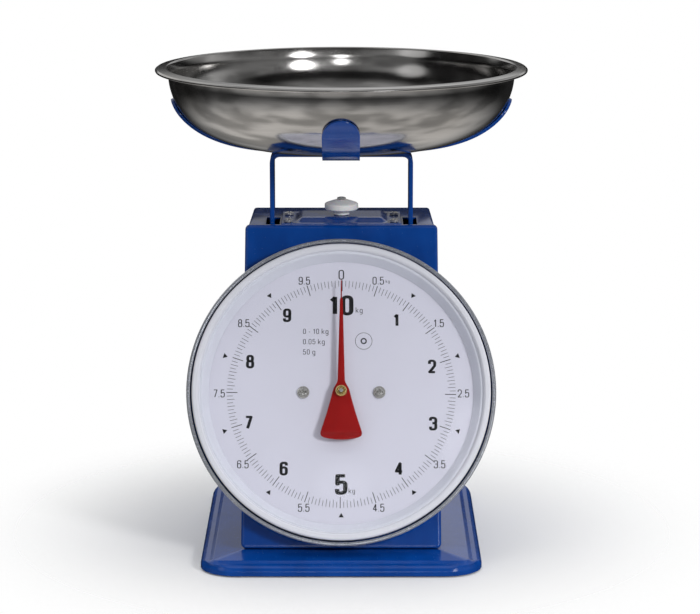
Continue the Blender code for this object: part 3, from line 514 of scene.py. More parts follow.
@built_once
def spun_steel():
    """Stainless steel spun on a lathe and polished: fine lines round the bowl, broken by wear."""
    tint = tuple(settings().finishes.steel)
    shader = Shader("spun_steel", Metallic=1.0, Anisotropic=0.45)
    x, y, z = shader.parts(shader.place())
    radius = (x * x + y * y + 1e-8) ** 0.5
    across = radius + z
    lines_at = shader.vector(across * 2600.0, x / radius * 1.6, y / radius * 1.6)
    lines = shader.noise(1.0, 3.0, 0.6, at=lines_at)
    bands_at = shader.vector(across * 130.0, x / radius * 2.4, y / radius * 2.4)
    bands = shader.noise(1.0, 3.0, 0.5, at=bands_at)
    rubbed = shader.noise(38.0, 5.0, 0.7).above(0.45, 0.25)
    tone = shader.mix(bands, scaled(tint, 0.80), scaled(tint, 1.14))
    tone = shader.mix(lines.above(0.60, 0.2) * 0.35, tone, scaled(tint, 0.66))
    warm = shader.noise(9.0, 2.0).above(0.5, 0.25)
    tone = shader.mix(warm * 0.25, tone, (tint[0] * 1.06, tint[1] * 0.98, tint[2] * 0.84))
    rough = lines * 0.07 + bands * 0.05 + rubbed * 0.04 + 0.055
    shader.feed(Base_Color=tone, Roughness=rough, Normal=shader.bump(lines, 0.00004, 0.30))
    return shader.material


@built_once
def white_enamel():
    """White stove enamel with faint thick and thin places and handling marks."""
    tint = tuple(settings().finishes.white)
    shader = Shader("white_enamel", Coat_Weight=0.4, Coat_Roughness=0.08)
    cloud = shader.noise(70.0, 4.0)
    marks = shader.noise(240.0, 5.0, 0.75).above(0.62, 0.12)
    base = shader.mix(cloud, scaled(tint, 0.95), scaled(tint, 1.03))
    base = shader.mix(marks * 0.16, base, scaled(tint, 0.72))
    shader.feed(Base_Color=base, Roughness=cloud * 0.12 + marks * 0.1 + 0.16,
                Normal=shader.bump(shader.noise(420.0, 2.0), 0.0002, 0.12))
    return shader.material


@built_once
def dial_ground():
    """Satin white dial with very fine mottling."""
    tint = tuple(settings().finishes.dial)
    shader = Shader("dial_ground")
    fine = shader.noise(1500.0, 3.0, 0.7)
    cloud = shader.noise(30.0, 3.0)
    base = shader.mix(fine * 0.7 + cloud * 0.3, scaled(tint, 0.90), scaled(tint, 1.10))
    shader.feed(Base_Color=base, Roughness=fine * 0.15 + 0.42,
                Normal=shader.bump(fine, 0.00004, 0.25))
    return shader.material


@built_once
def printed_ink():
    """Screen-printed ink, a little thin in places."""
    tint = tuple(settings().finishes.ink)
    shader = Shader("printed_ink")
    thin = shader.noise(900.0, 3.0, 0.7).above(0.60, 0.15)
    shader.feed(Base_Color=shader.mix(thin * 0.35, tint, (0.09, 0.09, 0.10)),
                Roughness=thin * 0.2 + 0.42)
    return shader.material


@built_once
def fine_ink():
    """The same ink in hairlines, where the ground shows through."""
    shader = Shader("fine_ink")
    thin = shader.noise(800.0, 3.0, 0.7).above(0.50, 0.2)
    shader.feed(Base_Color=shader.mix(thin, (0.045, 0.045, 0.055), (0.12, 0.12, 0.14)),
                Roughness=thin * 0.2 + 0.45)
    return shader.material


@built_once
def red_lacquer():
    """Red lacquer over pressed steel, cloudy and faintly streaked."""
    tint = tuple(settings().finishes.red)
    shader = Shader("red_lacquer", Coat_Weight=0.12, Coat_Roughness=0.12, Specular_IOR_Level=0.3)
    cloud = shader.noise(120.0, 4.0)
    streak = shader.noise(260.0, 3.0, stretch=(1.0, 0.2, 0.2))
    base = shader.mix(cloud * 0.6 + streak * 0.4, scaled(tint, 0.72), scaled(tint, 1.3))
    shader.feed(Base_Color=base, Roughness=cloud * 0.14 + 0.26,
                Normal=shader.bump(shader.noise(700.0, 2.0), 0.0001, 0.2))
    return shader.material


@built_once
def plated_steel():
    """Zinc or nickel plate: a cloudy bloom, scuffs and drawn grain."""
    tint = tuple(settings().finishes.zinc)
    shader = Shader("plated_steel", Metallic=0.62)
    bloom = shader.noise(160.0, 4.0, 0.6)
    scuff = shader.noise(620.0, 5.0, 0.75, stretch=(1.0, 0.3, 1.0)).above(0.56, 0.16)
    base = shader.mix(bloom, scaled(tint, 0.78), scaled(tint, 1.18))
    base = shader.mix(scuff * 0.3, base, scaled(tint, 0.55))
    shader.feed(Base_Color=base, Roughness=bloom * 0.16 + scuff * 0.14 + 0.16,
                Normal=shader.bump(scuff, 0.00006, 0.25))
    return shader.material


@built_once
def rim_steel():
    """The rolled rim: polished steel, greyed by handling."""
    shader = Shader("rim_steel", Metallic=0.6)
    cloud = shader.noise(70.0, 4.0)
    scratch = shader.noise(500.0, 4.0, 0.7, stretch=(0.3, 1.0, 1.0)).above(0.55, 0.15)
    base = shader.mix(cloud, (0.36, 0.38, 0.43), (0.54, 0.56, 0.61))
    base = shader.mix(scratch * 0.3, base, (0.10, 0.13, 0.22))
    shader.feed(Base_Color=base, Roughness=cloud * 0.15 + scratch * 0.15 + 0.18,
                Normal=shader.bump(scratch, 0.00005, 0.2))
    return shader.material


@built_once
def turned_brass():
    """Brass with the lathe's fine rings round the dial's axis and some tarnish."""
    tint = tuple(settings().finishes.brass)
    shader = Shader("turned_brass", Metallic=0.8)
    centred = shader.node("ShaderNodeVectorMath", {"operation": "SUBTRACT"},
                          {0: shader.place(), 1: tuple(DIAL_CENTRE)})
    turned_at = shader.node("ShaderNodeMapping", None,
                            {"Vector": centred, "Rotation": (LEAN - TURN / 4, 0, 0)})
    x, y, _ = shader.parts(turned_at)
    radius = (x * x + y * y + 1e-10) ** 0.5
    rings = shader.noise(1.0, 2.0, at=shader.vector(radius * 5200.0, 0.0, 0.0))
    tarnish = shader.noise(210.0, 4.0, 0.65).above(0.48, 0.3)
    base = shader.mix(tarnish * 0.55, tint, (tint[0] * 0.55, tint[1] * 0.44, tint[2] * 0.34))
    shader.feed(Base_Color=base, Roughness=tarnish * 0.22 + rings * 0.1 + 0.14,
                Normal=shader.bump(rings, 0.00003, 0.4))
    return shader.material


@built_once
def knob_plastic():
    """Moulded off-white plastic with a soft grain and a little handling grime."""
    tint = tuple(settings().finishes.knob)
    shader = Shader("knob_plastic", Subsurface_Weight=0.12, Subsurface_Scale=0.002)
    grime = shader.noise(210.0, 5.0, 0.7).above(0.54, 0.22)
    base = shader.mix(grime * 0.35, tint, (tint[0] * 0.72, tint[1] * 0.70, tint[2] * 0.64))
    shader.feed(Base_Color=base, Roughness=grime * 0.15 + 0.36,
                Normal=shader.bump(shader.noise(1300.0, 2.0), 0.00008, 0.3))
    return shader.material


@built_once
def foot_rubber():
    """Black rubber, dusty and finely grained."""
    shader = Shader("foot_rubber")
    dust = shader.noise(260.0, 5.0, 0.7).above(0.5, 0.3)
    shader.feed(Base_Color=shader.mix(dust * 0.5, (0.022, 0.022, 0.024), (0.08, 0.078, 0.075)),
                Roughness=dust * 0.15 + 0.7,
                Normal=shader.bump(shader.noise(1800.0, 2.0), 0.0001, 0.4))
    return shader.material


@built_once
def spring_wire_steel():
    """Oiled spring wire, dark with a drawn shine."""
    shader = Shader("spring_wire_steel", Metallic=1.0)
    oil = shader.noise(240.0, 4.0, 0.6)
    shader.feed(Base_Color=shader.mix(oil, (0.20, 0.20, 0.21), (0.42, 0.42, 0.43)),
                Roughness=oil * 0.2 + 0.2)
    return shader.material


@built_once
def clear_plastic():
    """Clear moulded plastic: straight through except for what its surface mirrors."""
    shader = Shader("clear_plastic", Metallic=1.0, Base_Color=(0.96, 0.97, 1.0, 1.0))
    haze = shader.noise(60.0, 4.0, 0.6)
    shader.feed(Roughness=haze * 0.06 + 0.03)
    mirror = shader.node("ShaderNodeFresnel", None, {"IOR": 1.40})
    scuffs = shader.noise(420.0, 5.0, 0.8).above(0.66, 0.1)
    through = shader.node("ShaderNodeBsdfTransparent", None, {"Color": (0.985, 0.99, 1.0, 1.0)})
    both = shader.node("ShaderNodeMixShader", None,
                       {0: mirror * 0.13 + scuffs * 0.004, 1: through,
                        2: Value(shader, shader.surface.outputs[0])})
    output = shader.tree.nodes["Material Output"]
    shader.tree.links.new(both.socket, output.inputs["Surface"])
    return shader.material


# ---------------------------------------------------------------- bowl and what carries it

def bowl_height(radius):
    """Height of the bowl's outer side over its lowest point.

    rise = 1 - (1 - (r / wall)^flat)^(1 / round), taken from the floor's edge up, times the depth.
    """
    sizes = settings().bowl
    low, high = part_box("bowl")
    wall = high.x - sizes.rim_width
    depth = high.z - 0.6 * MM - low.z

    def rise(r):
        return 1 - (1 - np.clip(r / wall, 0, 1) ** sizes.flat_power) ** (1 / sizes.round_power)

    floor = rise(sizes.floor_radius)
    return depth * np.maximum(rise(np.asarray(radius, float)) - floor, 0.0) / (1 - floor)


def sideways(path, distance):
    """A line of points moved to its right by a distance, at each point square to the line."""
    along = np.gradient(path, axis=0)
    along /= np.maximum(np.linalg.norm(along, axis=1), 1e-9)[:, None]
    return path + np.stack([along[:, 1], -along[:, 0]], -1) * distance


def make_bowl():
    """Turned shell: the outer section up to the wall, a flange with a rolled edge, and back."""
    sizes = settings().bowl
    low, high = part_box("bowl")
    wall = high.x - sizes.rim_width
    t = np.sin(np.linspace(0, TURN / 4, 64)) ** 0.9
    radius = sizes.floor_radius + (wall - sizes.floor_radius) * t
    outer = np.stack([radius, low.z + bowl_height(radius)], -1)
    inner = sideways(outer, -sizes.sheet)
    floor = np.array([0.0, 0.25, 0.5, 0.75, 0.9, 0.94, 0.97]) * sizes.floor_radius
    ring = np.array([0, 0, 0, 0, 0, 0.6, 1.0]) * sizes.floor_ring
    outer_floor = np.stack([floor, low.z + ring], -1)
    inner_floor = outer_floor + [0, sizes.sheet]
    rim = high.z
    lip = rounded_path(
        [(wall - 0.9 * MM, rim - 5 * MM), (wall + 0.4 * MM, rim), (high.x - 1.2 * MM, rim - 0.9 * MM),
         (high.x, rim - 1.9 * MM), (high.x - 0.5 * MM, rim - 3.3 * MM),
         (high.x - 1.5 * MM, rim - 2.5 * MM), (high.x - 2.2 * MM, rim - 2.0 * MM),
         (wall + 0.9 * MM, rim - 1.0 * MM), (wall + 0.2 * MM, rim - 5 * MM)],
        [0, 1.6 * MM, 0.8 * MM, 0.8 * MM, 0.4 * MM, 0.5 * MM, 0.4 * MM, 0.7 * MM, 0], steps=6)
    keep = inner[:, 1] < rim - 5.5 * MM
    keep_outer = outer[:, 1] < rim - 5.5 * MM
    profile = np.concatenate([inner_floor, inner[keep], lip, outer[keep_outer][::-1],
                              outer_floor[::-1]])
    mesh = mesh_of("bowl_spun", [(turned(profile, 288), False, True)])
    finish_piece("bowl_spun", mesh, spun_steel(), "bowl", ("bowl",), sharp=50)


def make_cross():
    """Four arms that follow the bowl from below and end in half-round tabs, cut from one sheet."""
    sizes = settings().sheet
    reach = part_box("pan_spider")[1].x - 2.1 * MM
    half = sizes.cross_width / 2
    gap = 0.4 * MM
    bowl_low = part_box("bowl")[0].z
    radius = half + (reach - half) * (1 - (1 - np.linspace(0, 1, 90)) ** 1.5)
    under = sideways(np.stack([radius, bowl_low + bowl_height(radius)], -1), gap)
    under[0] = (half, bowl_low - 0.3 * MM)
    step = np.linalg.norm(np.diff(under, axis=0), axis=1)
    run = np.concatenate([[0], np.cumsum(step)])
    over = np.maximum(run - (run[-1] - half), 0.0)
    wide = np.sqrt(np.maximum(half ** 2 - over ** 2, 0.0))
    across = np.linspace(-1, 1, 17)
    arm = np.stack([np.broadcast_to(under[:, 0, None], (90, 17)), wide[:, None] * across,
                    np.broadcast_to(under[:, 1, None], (90, 17))], -1)
    grids = []
    for quarter in range(4):
        turn = np.array(Matrix.Rotation(TURN / 4 * quarter, 3, "Z"))
        grids.append((arm @ turn.T, False, False))
    side, front = np.meshgrid(half * across, half * across, indexing="ij")
    grids.append((np.stack([side, front, np.full_like(side, under[0, 1])], -1), False, False))
    mesh = mesh_of("cross_pressed", grids, merge=5e-6, upward=True)
    piece = finish_piece("cross_pressed", mesh, blue_enamel(), "load_frame", ("pan_spider",),
                         sharp=50)
    sheet_piece(piece, sizes.cross_sheet, 0.5 * MM)


def make_yoke():
    """One steel strip bent to an inverted U, its section a rounded rectangle."""
    sizes = settings().sheet
    low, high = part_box("yoke")
    middle = high.x - sizes.strap_sheet / 2
    top = high.z - sizes.strap_sheet / 2
    line = rounded_path([(-middle, low.z), (-middle, top), (middle, top), (middle, low.z)],
                        [0, 6 * MM, 6 * MM, 0], steps=14)
    line = line[np.r_[True, np.linalg.norm(np.diff(line, axis=0), axis=1) > 1e-7]]
    path = np.stack([line[:, 0], np.zeros(len(line)), line[:, 1]], -1)
    along = np.gradient(path, axis=0)
    along /= np.linalg.norm(along, axis=1)[:, None]
    side = np.broadcast_to([0.0, 1.0, 0.0], path.shape)
    normal = np.cross(along, side)
    section = section_ring(sizes.strap_width / 2, sizes.strap_sheet / 2, 0.9 * MM)
    mesh = mesh_of("yoke_bent", [(carried(path, side, normal, section), False, True)])
    finish_piece("yoke_bent", mesh, blue_enamel(), "load_frame", ("yoke",))


# ---------------------------------------------------------------- housing

def pan_point(across, up, back):
    """A point of the front panel's pan from its share across, its place up the slope and its
    distance back along the depth axis."""
    return np.stack([across, DIAL_CENTRE[1] + up * DIAL_UP[1] + back,
                     DIAL_CENTRE[2] + up * DIAL_UP[2]], -1)


def make_front_panel():
    """A shallow pan: loops step out from the middle of the face, round the edge, go back over
    the housing and return inside. Each loop is a rounded trapezoid."""
    sizes = settings().sheet
    points = corners_of("front_panel")
    top_half = points[points[:, 2] > points[:, 2].max() - 8 * MM][:, 0].max()
    low_half = points[points[:, 2] < points[:, 2].min() + 8 * MM][:, 0].max()
    wrap = 4.0 * MM
    sheet = 1.0 * MM
    edge = sizes.edge
    face_up = TOP_EDGE_UP
    face_low = face_up - (points[:, 2].max() - points[:, 2].min()) / DIAL_UP[2]
    half_long = (face_up - face_low) / 2
    bend = np.linspace(0, TURN / 4, 9)
    inset = np.concatenate([[top_half, top_half * 0.6, 0.3 * top_half, 8 * MM, 4 * MM],
                            edge * (1 - np.sin(bend)), [0, 0], [0.5 * sheet, sheet], [sheet, sheet],
                            [8 * MM, top_half]])
    back = np.concatenate([np.zeros(5), edge * (1 - np.cos(bend)), [wrap * 0.8, wrap - 0.3 * MM],
                           [wrap, wrap - 0.3 * MM], [wrap * 0.7, 1.4 * sheet],
                           [sheet * 1.07, sheet * 1.07]])
    radius = np.maximum(sizes.corner - inset, 0.2 * MM)
    radius[inset > 20 * MM] = 0.0
    across = np.maximum(low_half - inset, 0.0)
    along = np.maximum(half_long - inset, 0.0)
    along[across == 0] = 0.0
    ring = loops(across, along, np.minimum(radius, np.minimum(across, along)), 7)
    middle = (face_up + face_low) / 2
    up = middle + ring[..., 1]
    narrow = 1 - (1 - top_half / low_half) * (up - face_low) / (face_up - face_low)
    grid = pan_point(ring[..., 0] * narrow, up, np.broadcast_to(back[:, None], up.shape))
    mesh = mesh_of("front_pan", [(grid, False, True)])
    finish_piece("front_pan", mesh, blue_enamel(), "housing", ("front_panel",),
                 sharp=50)


TOP_EDGE_UP = (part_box("front_panel")[1].z - DIAL_CENTRE[2]) / DIAL_UP[2]


def make_base():
    """Flared skirt: a thin section of inset, height and corner radius, swept as rounded loops."""
    low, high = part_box("base_skirt")
    centre = (low.y + high.y) / 2
    half_x, half_y = high.x, (high.y - low.y) / 2
    flare_x, flare_y, corner = 26.5 * MM, 21.9 * MM, 24.0 * MM
    top = high.z
    outer = [(0.0, 1.0, 1.0, 0), (0.0, 3.9, 1.0, 1.2), (0.045, 6.1, 0.92, 1.6),
             (0.13, 7.3, 0.60, 1.4), (0.24, 8.0, 0.30, 1.2), (0.34, 9.4, 0.15, 1.0),
             (0.93, top / MM - 0.5, 0.08, 0.6), (1.02, top / MM, 0.07, 0.4),
             (1.20, top / MM, 0.07, 0)]
    inner = [(part + (0.045 if part < 0.2 else 0.015), z - (0.0 if z <= 1.0 else 1.1), r * 0.96, b)
             for part, z, r, b in outer[:-1]] + [(1.20, top / MM - 1.1, 0.07, 0)]
    line = np.array(outer + inner[::-1])
    corners = np.stack([line[:, 0] * flare_x, line[:, 1] * MM, line[:, 2] * corner], -1)
    path = rounded_path(corners, line[:, 3] * MM, closed=True, steps=5)
    inset = path[:, 0] / flare_x
    ring = loops(half_x - inset * flare_x, half_y - inset * flare_y, path[:, 2], 16)
    height = np.broadcast_to(path[:, 1, None], ring.shape[:2])
    grid = np.concatenate([ring + [0, centre], height[..., None]], -1)
    mesh = mesh_of("base_pressed", [(grid, True, True)])
    finish_piece("base_pressed", mesh, blue_enamel(), "housing", ("base_skirt",),
                 sharp=60)
    for node in ("foot_front_left", "foot_front_right", "foot_rear_left", "foot_rear_right"):
        low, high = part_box(node)
        r = (high.x - low.x) / 2
        profile = rounded_path([(0, high.z), (r, high.z), (r - 0.3 * MM, 0.5 * MM), (r - 0.9 * MM, 0),
                                (r * 0.45, 0), (r * 0.4, 0.5 * MM), (0, 0.5 * MM)],
                               [0, 0.3 * MM, 0.5 * MM, 0.4 * MM, 0.2 * MM, 0.2 * MM, 0], steps=4)
        grid = turned(profile, 48) + [(low.x + high.x) / 2, (low.y + high.y) / 2, 0]
        mesh = mesh_of(node + "_moulded", [(grid, False, True)])
        finish_piece(node + "_moulded", mesh, foot_rubber(), "housing", (node,))


def make_bracket():
    """A plate with a pressed-up middle.

    The rise is a height over the plan: 1 - ((1 - side)^p + (1 - end)^p)^(1/p), where side and end
    climb from 0 at the foot of each slope to 1 at its top, so the raised corners come out round.
    """
    low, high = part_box("top_bracket")
    plate = low.z + 1.5 * MM
    rise = high.z - plate
    x, y = np.meshgrid(np.linspace(low.x, high.x, 150), np.linspace(low.y, high.y, 90),
                       indexing="ij")
    raised_half, side_slope = 31.5 * MM, 5.5 * MM
    front_foot, front_slope = -20.0 * MM, 12.5 * MM
    back_foot, back_slope = 21.0 * MM, 4.0 * MM
    side = np.clip((raised_half - abs(x)) / side_slope, 0, 1)
    front = np.clip((y - front_foot) / front_slope, 0, 1)
    back = np.clip((back_foot - y) / back_slope, 0, 1)
    power = 2.6
    short = ((1 - side) ** power + (1 - np.minimum(front, back)) ** power) ** (1 / power)
    height = plate + rise * smooth_rise(1 - short) ** 0.8
    mesh = mesh_of("bracket_pressed", [(np.stack([x, y, height], -1), False, False)], upward=True)
    piece = finish_piece("bracket_pressed", mesh, blue_enamel(), "housing", ("top_bracket",),
                         sharp=60)
    sheet_piece(piece, 1.4 * MM, 0.35 * MM)


def make_housing():
    """The folded shell and the rear cover, from the frame's own solids with their edges eased."""
    merged_copy("body_shell", "housing_shell", blue_enamel())
    merged_copy("rear_cover", "rear_door", blue_enamel(), edge=0.35 * MM)


# ---------------------------------------------------------------- screws

def screw_surface(head, rise, shank, depth, recess=0.62):
    """A domed head with a cross recess over a plain shank.

    Head height = rise (1 - 0.45 (r / head)^3), less the recess where either bar of the cross
    covers the point. Each bar is a product of two soft steps.
    """
    angle = np.linspace(0, TURN, 72, endpoint=False)
    radius = np.concatenate([np.linspace(0, 0.97, 26), [0.99, 1.0]]) * head
    r, a = np.meshgrid(radius, angle, indexing="ij")
    x, y = abs(r * np.cos(a)), abs(r * np.sin(a))
    soft = 0.10 * head

    def bar(one, two):
        inside = smooth_rise((0.15 * head + soft - one) / soft)
        return inside * smooth_rise((recess * head + soft - two) / soft)

    cross = np.maximum(bar(x, y), bar(y, x))
    height = rise * (1 - 0.45 * (r / head) ** 3) - cross * rise * 0.72
    top = np.stack([r * np.cos(a), r * np.sin(a), height], -1)
    under = turned([(head, 0.15 * rise), (head * 0.97, 0), (shank, 0), (shank, -depth + shank * 0.4),
                    (shank * 0.5, -depth), (0, -depth)], 72)
    return np.concatenate([top, under])


def screw_piece(node, up, head, rise, body, washer=0.0):
    """A screw in the place of a frame node, standing along up."""
    right = RIGHT
    side = np.cross(up, right)
    tall = span(node, up)
    centre = sum((sum(span(node, axis)) / 2) * axis for axis in (right, side))
    seat = centre + up * (tall[1] - rise)
    grids = [(screw_surface(head, rise, 1.3 * MM, tall[1] - tall[0] - rise), False, True)]
    if washer:
        profile = rounded_path([(1.6 * MM, -0.05 * MM), (washer, -0.05 * MM), (washer, 0.35 * MM),
                                (washer * 0.9, 0.7 * MM), (head * 0.98, 0.35 * MM),
                                (1.6 * MM, 0.3 * MM)],
                               0.12 * MM, closed=True, steps=3)
        grids.append((turned(profile, 72), True, True))
    grids = [(standing(grid, seat, up), rows, columns) for grid, rows, columns in grids]
    mesh = mesh_of(node + "_cut", grids)
    finish_piece(node + "_cut", mesh, plated_steel(), body, (node,), sharp=45)


def make_screws():
    """Every screw head that can be seen, each square to the face it holds down."""
    for where in ("front_left", "front_right", "rear_left", "rear_right"):
        screw_piece("bracket_screw_" + where, UP, 3.1 * MM, 2.0 * MM, "housing")
    for side in ("left", "right"):
        screw_piece("dial_screw_" + side, DIAL_OUT, 3.0 * MM, 1.7 * MM, "housing", washer=4.1 * MM)
        screw_piece("spider_screw_" + side, -UP, 3.1 * MM, 2.0 * MM, "load_frame")
    back = rear_direction()
    for where in ("lower_left", "lower_right", "upper_left", "upper_right"):
        screw_piece("rear_screw_" + where, back, 2.9 * MM, 1.8 * MM, "housing")


def rear_direction():
    """Outward direction of the rear cover, from the two heights of its outer face."""
    points = corners_of("rear_cover")
    top = points[points[:, 2] > points[:, 2].max() - 3 * MM][:, 1].max()
    foot = points[points[:, 2] < points[:, 2].min() + 3 * MM][:, 1].max()
    tall = points[:, 2].max() - points[:, 2].min()
    lean = math.atan2(foot - top, tall)
    return np.array([0.0, math.cos(lean), math.sin(lean)])


# ---------------------------------------------------------------- zero adjuster

def make_zero_adjuster():
    """A mushroom knob with a shallow cone on top, and the slotted end of its screw."""
    low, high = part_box("zero_knob")
    r, z0, tall = high.x, low.z, high.z - low.z
    profile = rounded_path(
        [(2.3 * MM, tall), (3.6 * MM, tall), (7.0 * MM, tall - 1.1 * MM),
         (10.4 * MM, tall - 2.3 * MM), (r, tall - 3.0 * MM), (r, tall - 6.2 * MM),
         (r - 1.2 * MM, tall - 7.1 * MM), (6.6 * MM, tall - 7.5 * MM), (4.8 * MM, tall - 7.9 * MM),
         (4.6 * MM, tall - 8.8 * MM), (5.4 * MM, 0.5 * MM), (5.4 * MM, 0), (2.3 * MM, 0)],
        np.array([0.3, 0.4, 1.5, 1.0, 0.8, 0.9, 0.8, 0.8, 0.6, 0.6, 0.3, 0.2, 0]) * MM,
        closed=True, steps=7)
    mesh = mesh_of("zero_knob_moulded", [(turned(profile, 96) + [0, 0, z0], True, True)])
    finish_piece("zero_knob_moulded", mesh, knob_plastic(), "zero_knob", ("zero_knob",),
                 sharp=50)
    screw_piece("zero_screw", UP, 3.0 * MM, 1.5 * MM, "zero_knob")


# ---------------------------------------------------------------- dial head

def make_drum():
    """The drum's wall with a rolled lip at its front, and the floor that carries the plate."""
    low, high = span("dial_drum", DIAL_OUT, DIAL_CENTRE)
    r = span("dial_drum", RIGHT)[1]
    floor = PLATE_TOP - 2.2 * MM
    path = [(r - 2.5 * MM, high - 1.8 * MM), (r - 1.3 * MM, high - 2.6 * MM),
            (r - 1.3 * MM, high - 4.2 * MM), (r - 1.6 * MM, low), (r - 2.6 * MM, low),
            (r - 2.6 * MM, floor - MM), (9 * MM, floor - MM), (9 * MM, floor),
            (r - 2.6 * MM, floor)]
    radii = np.array([0.3, 0.3, 0.8, 0.3, 0.3, 0.4, 0.2, 0.2, 0.4]) * MM
    profile = rounded_path(path, radii, closed=True, steps=6)
    mesh = mesh_of("drum_spun", [(on_dial(turned(profile, 240)), True, True)])
    finish_piece("drum_spun", mesh, blue_enamel(), "housing", ("dial_drum",),
                 sharp=50)
    path = [(r - 2.6 * MM, high - 0.4 * MM), (r - 1.6 * MM, high), (r - 0.6 * MM, high - 0.1 * MM),
            (r, high - 0.9 * MM), (r - 0.1 * MM, high - 2.3 * MM), (r - 1.0 * MM, high - 2.9 * MM),
            (r - 1.7 * MM, high - 2.7 * MM), (r - 2.6 * MM, high - 1.6 * MM)]
    profile = rounded_path(path, 0.8 * MM, closed=True, steps=6)
    mesh = mesh_of("drum_lip", [(on_dial(turned(profile, 240)), True, True)])
    finish_piece("drum_lip", mesh, rim_steel(), "housing", sharp=50)


PLATE_TOP = span("dial_plate", DIAL_OUT, DIAL_CENTRE)[1]


def make_bezel():
    """The white ring: a tall coved wall up from the dial, a step that holds the lens, a round
    bead and a skirt outside."""
    low, high = span("bezel_ring", DIAL_OUT, DIAL_CENTRE)
    r = span("bezel_ring", RIGHT)[1]
    window = r - 11.0 * MM
    foot = PLATE_TOP + 0.2 * MM
    step = high - 2.7 * MM
    path = [(window, foot), (window + 0.8 * MM, foot + 1.2 * MM), (r - 7.0 * MM, step - 0.9 * MM),
            (r - 6.3 * MM, step - 0.1 * MM), (r - 4.9 * MM, step), (r - 4.3 * MM, high - 0.9 * MM),
            (r - 3.4 * MM, high), (r - 0.9 * MM, high), (r, high - 1.0 * MM), (r, low),
            (r - 0.9 * MM, low), (r - 0.9 * MM, high - 1.8 * MM), (r - 2.8 * MM, high - 1.2 * MM),
            (r - 3.7 * MM, step - 1.1 * MM), (r - 6.2 * MM, step - 1.6 * MM),
            (window + 1.4 * MM, foot)]
    radii = np.array([0.1, 0.8, 1.0, 0.6, 0.4, 0.6, 0.9, 1.0, 0.8, 0.2, 0.2, 0.5, 0.5, 0.5, 0.5,
                      0.1]) * MM
    profile = rounded_path(path, radii, closed=True, steps=6)
    mesh = mesh_of("bezel_enamelled", [(on_dial(turned(profile, 240)), True, True)])
    finish_piece("bezel_enamelled", mesh, white_enamel(), "housing", ("bezel_ring",),
                 sharp=50)


def make_lens():
    """A thin dome, height = rise (1 - (r / R)^2.4), with a fine moulded ring round its middle."""
    low, high = span("lens", DIAL_OUT, DIAL_CENTRE)
    edge = span("lens", RIGHT)[1]
    thick = 1.2 * MM
    rise = high - low - thick
    ring_at, ring_high, ring_wide = 32.0 * MM, 0.16 * MM, 0.35 * MM
    radius = np.unique(np.concatenate([np.linspace(0, edge, 60),
                                       ring_at + np.linspace(-3, 3, 15) * ring_wide]))
    bead = ring_high * np.exp(-((radius - ring_at) / ring_wide) ** 2)
    dome = low + thick + rise * (1 - (radius / edge) ** 2.4)
    outside = np.stack([radius, dome + bead], -1)
    inside = np.stack([radius, dome - thick], -1)
    profile = np.concatenate([outside, inside[::-1]])
    mesh = mesh_of("lens_moulded", [(on_dial(turned(profile, 200)), False, True)])
    piece = finish_piece("lens_moulded", mesh, clear_plastic(), "housing", ("lens",),
                         sharp=50)
    piece.visible_shadow = False


# ---------------------------------------------------------------- dial print

PRINT_SHIFT = -0.7 * MM


def clockwise(degrees, radius):
    """Dial coordinates of a place at so many degrees clockwise from the top."""
    angle = np.radians(degrees)
    return np.stack([radius * np.sin(angle), radius * np.cos(angle)], -1)


def slab(outlines):
    """Thin closed slabs on the plate from outlines (pieces, points, 2): two faces and a rim."""
    sizes = settings().dial
    low, high = PLATE_TOP, PLATE_TOP + sizes.ink_height
    levels = [(0.0, high), (1.0, high), (1.0, low), (0.0, low)]
    grids = []
    for outline in outlines:
        middle = outline.mean(0)
        rows = [np.concatenate([middle + (outline - middle) * reach,
                                np.full((len(outline), 1), z)], 1) for reach, z in levels]
        grids.append((on_dial(np.array(rows)), False, True))
    return grids


def tick_outlines():
    """A bar for each graduation: long at every tenth, then middle and short ones in turn."""
    sizes = settings().dial
    number = np.arange(sizes.marks)
    long_one = number % 10 == 0
    reach = np.where(long_one, sizes.long_mark,
                     np.where(number % 2 == 0, sizes.middle_mark, sizes.short_mark))
    half = np.where(long_one, 0.24, 0.15) * MM
    angle = number / sizes.marks * TURN + math.radians(0.5)
    out = np.stack([np.sin(angle), np.cos(angle)], -1)
    side = np.stack([out[:, 1], -out[:, 0]], -1)
    outer = sizes.tick_radius - np.where(long_one, 0.0, 0.25 * MM)
    corner = [(outer, -half), (outer, half), (outer - reach, half), (outer - reach, -half)]
    bars = np.stack([out * far[:, None] + side * near[:, None]
                     for far, near in [(np.broadcast_to(f, number.shape), n) for f, n in corner]], 1)
    bars = bars + [0, PRINT_SHIFT]
    return bars[long_one], bars[~long_one]


def arrow_outlines():
    """Small triangles outside the whole kilograms, pointing to the middle."""
    degrees = np.arange(1, 10) * 36.0
    shape = np.array([[0.0, -1.4], [-1.75, 1.5], [1.75, 1.5]]) * MM
    at = clockwise(degrees, 80.6 * MM) + [0, PRINT_SHIFT]
    angle = np.radians(degrees)
    spin = np.stack([np.stack([np.cos(angle), np.sin(angle)], -1),
                     np.stack([-np.sin(angle), np.cos(angle)], -1)], 1)
    return at[:, None] + np.einsum("pi,nij->npj", shape, np.swapaxes(spin, 1, 2))


def ring_grid(centre, radius_x, radius_y, width):
    """A thin printed ellipse: a flat band a little over the plate."""
    angle = np.linspace(0, TURN, 72, endpoint=False)
    high = PLATE_TOP + settings().dial.ink_height
    rows = []
    for reach, z in ((0, PLATE_TOP), (0, high), (width, high), (width, PLATE_TOP)):
        rows.append(np.stack([centre[0] + (radius_x + reach) * np.cos(angle),
                              centre[1] + (radius_y + reach) * np.sin(angle),
                              np.full(72, z)], -1))
    return on_dial(np.array(rows))


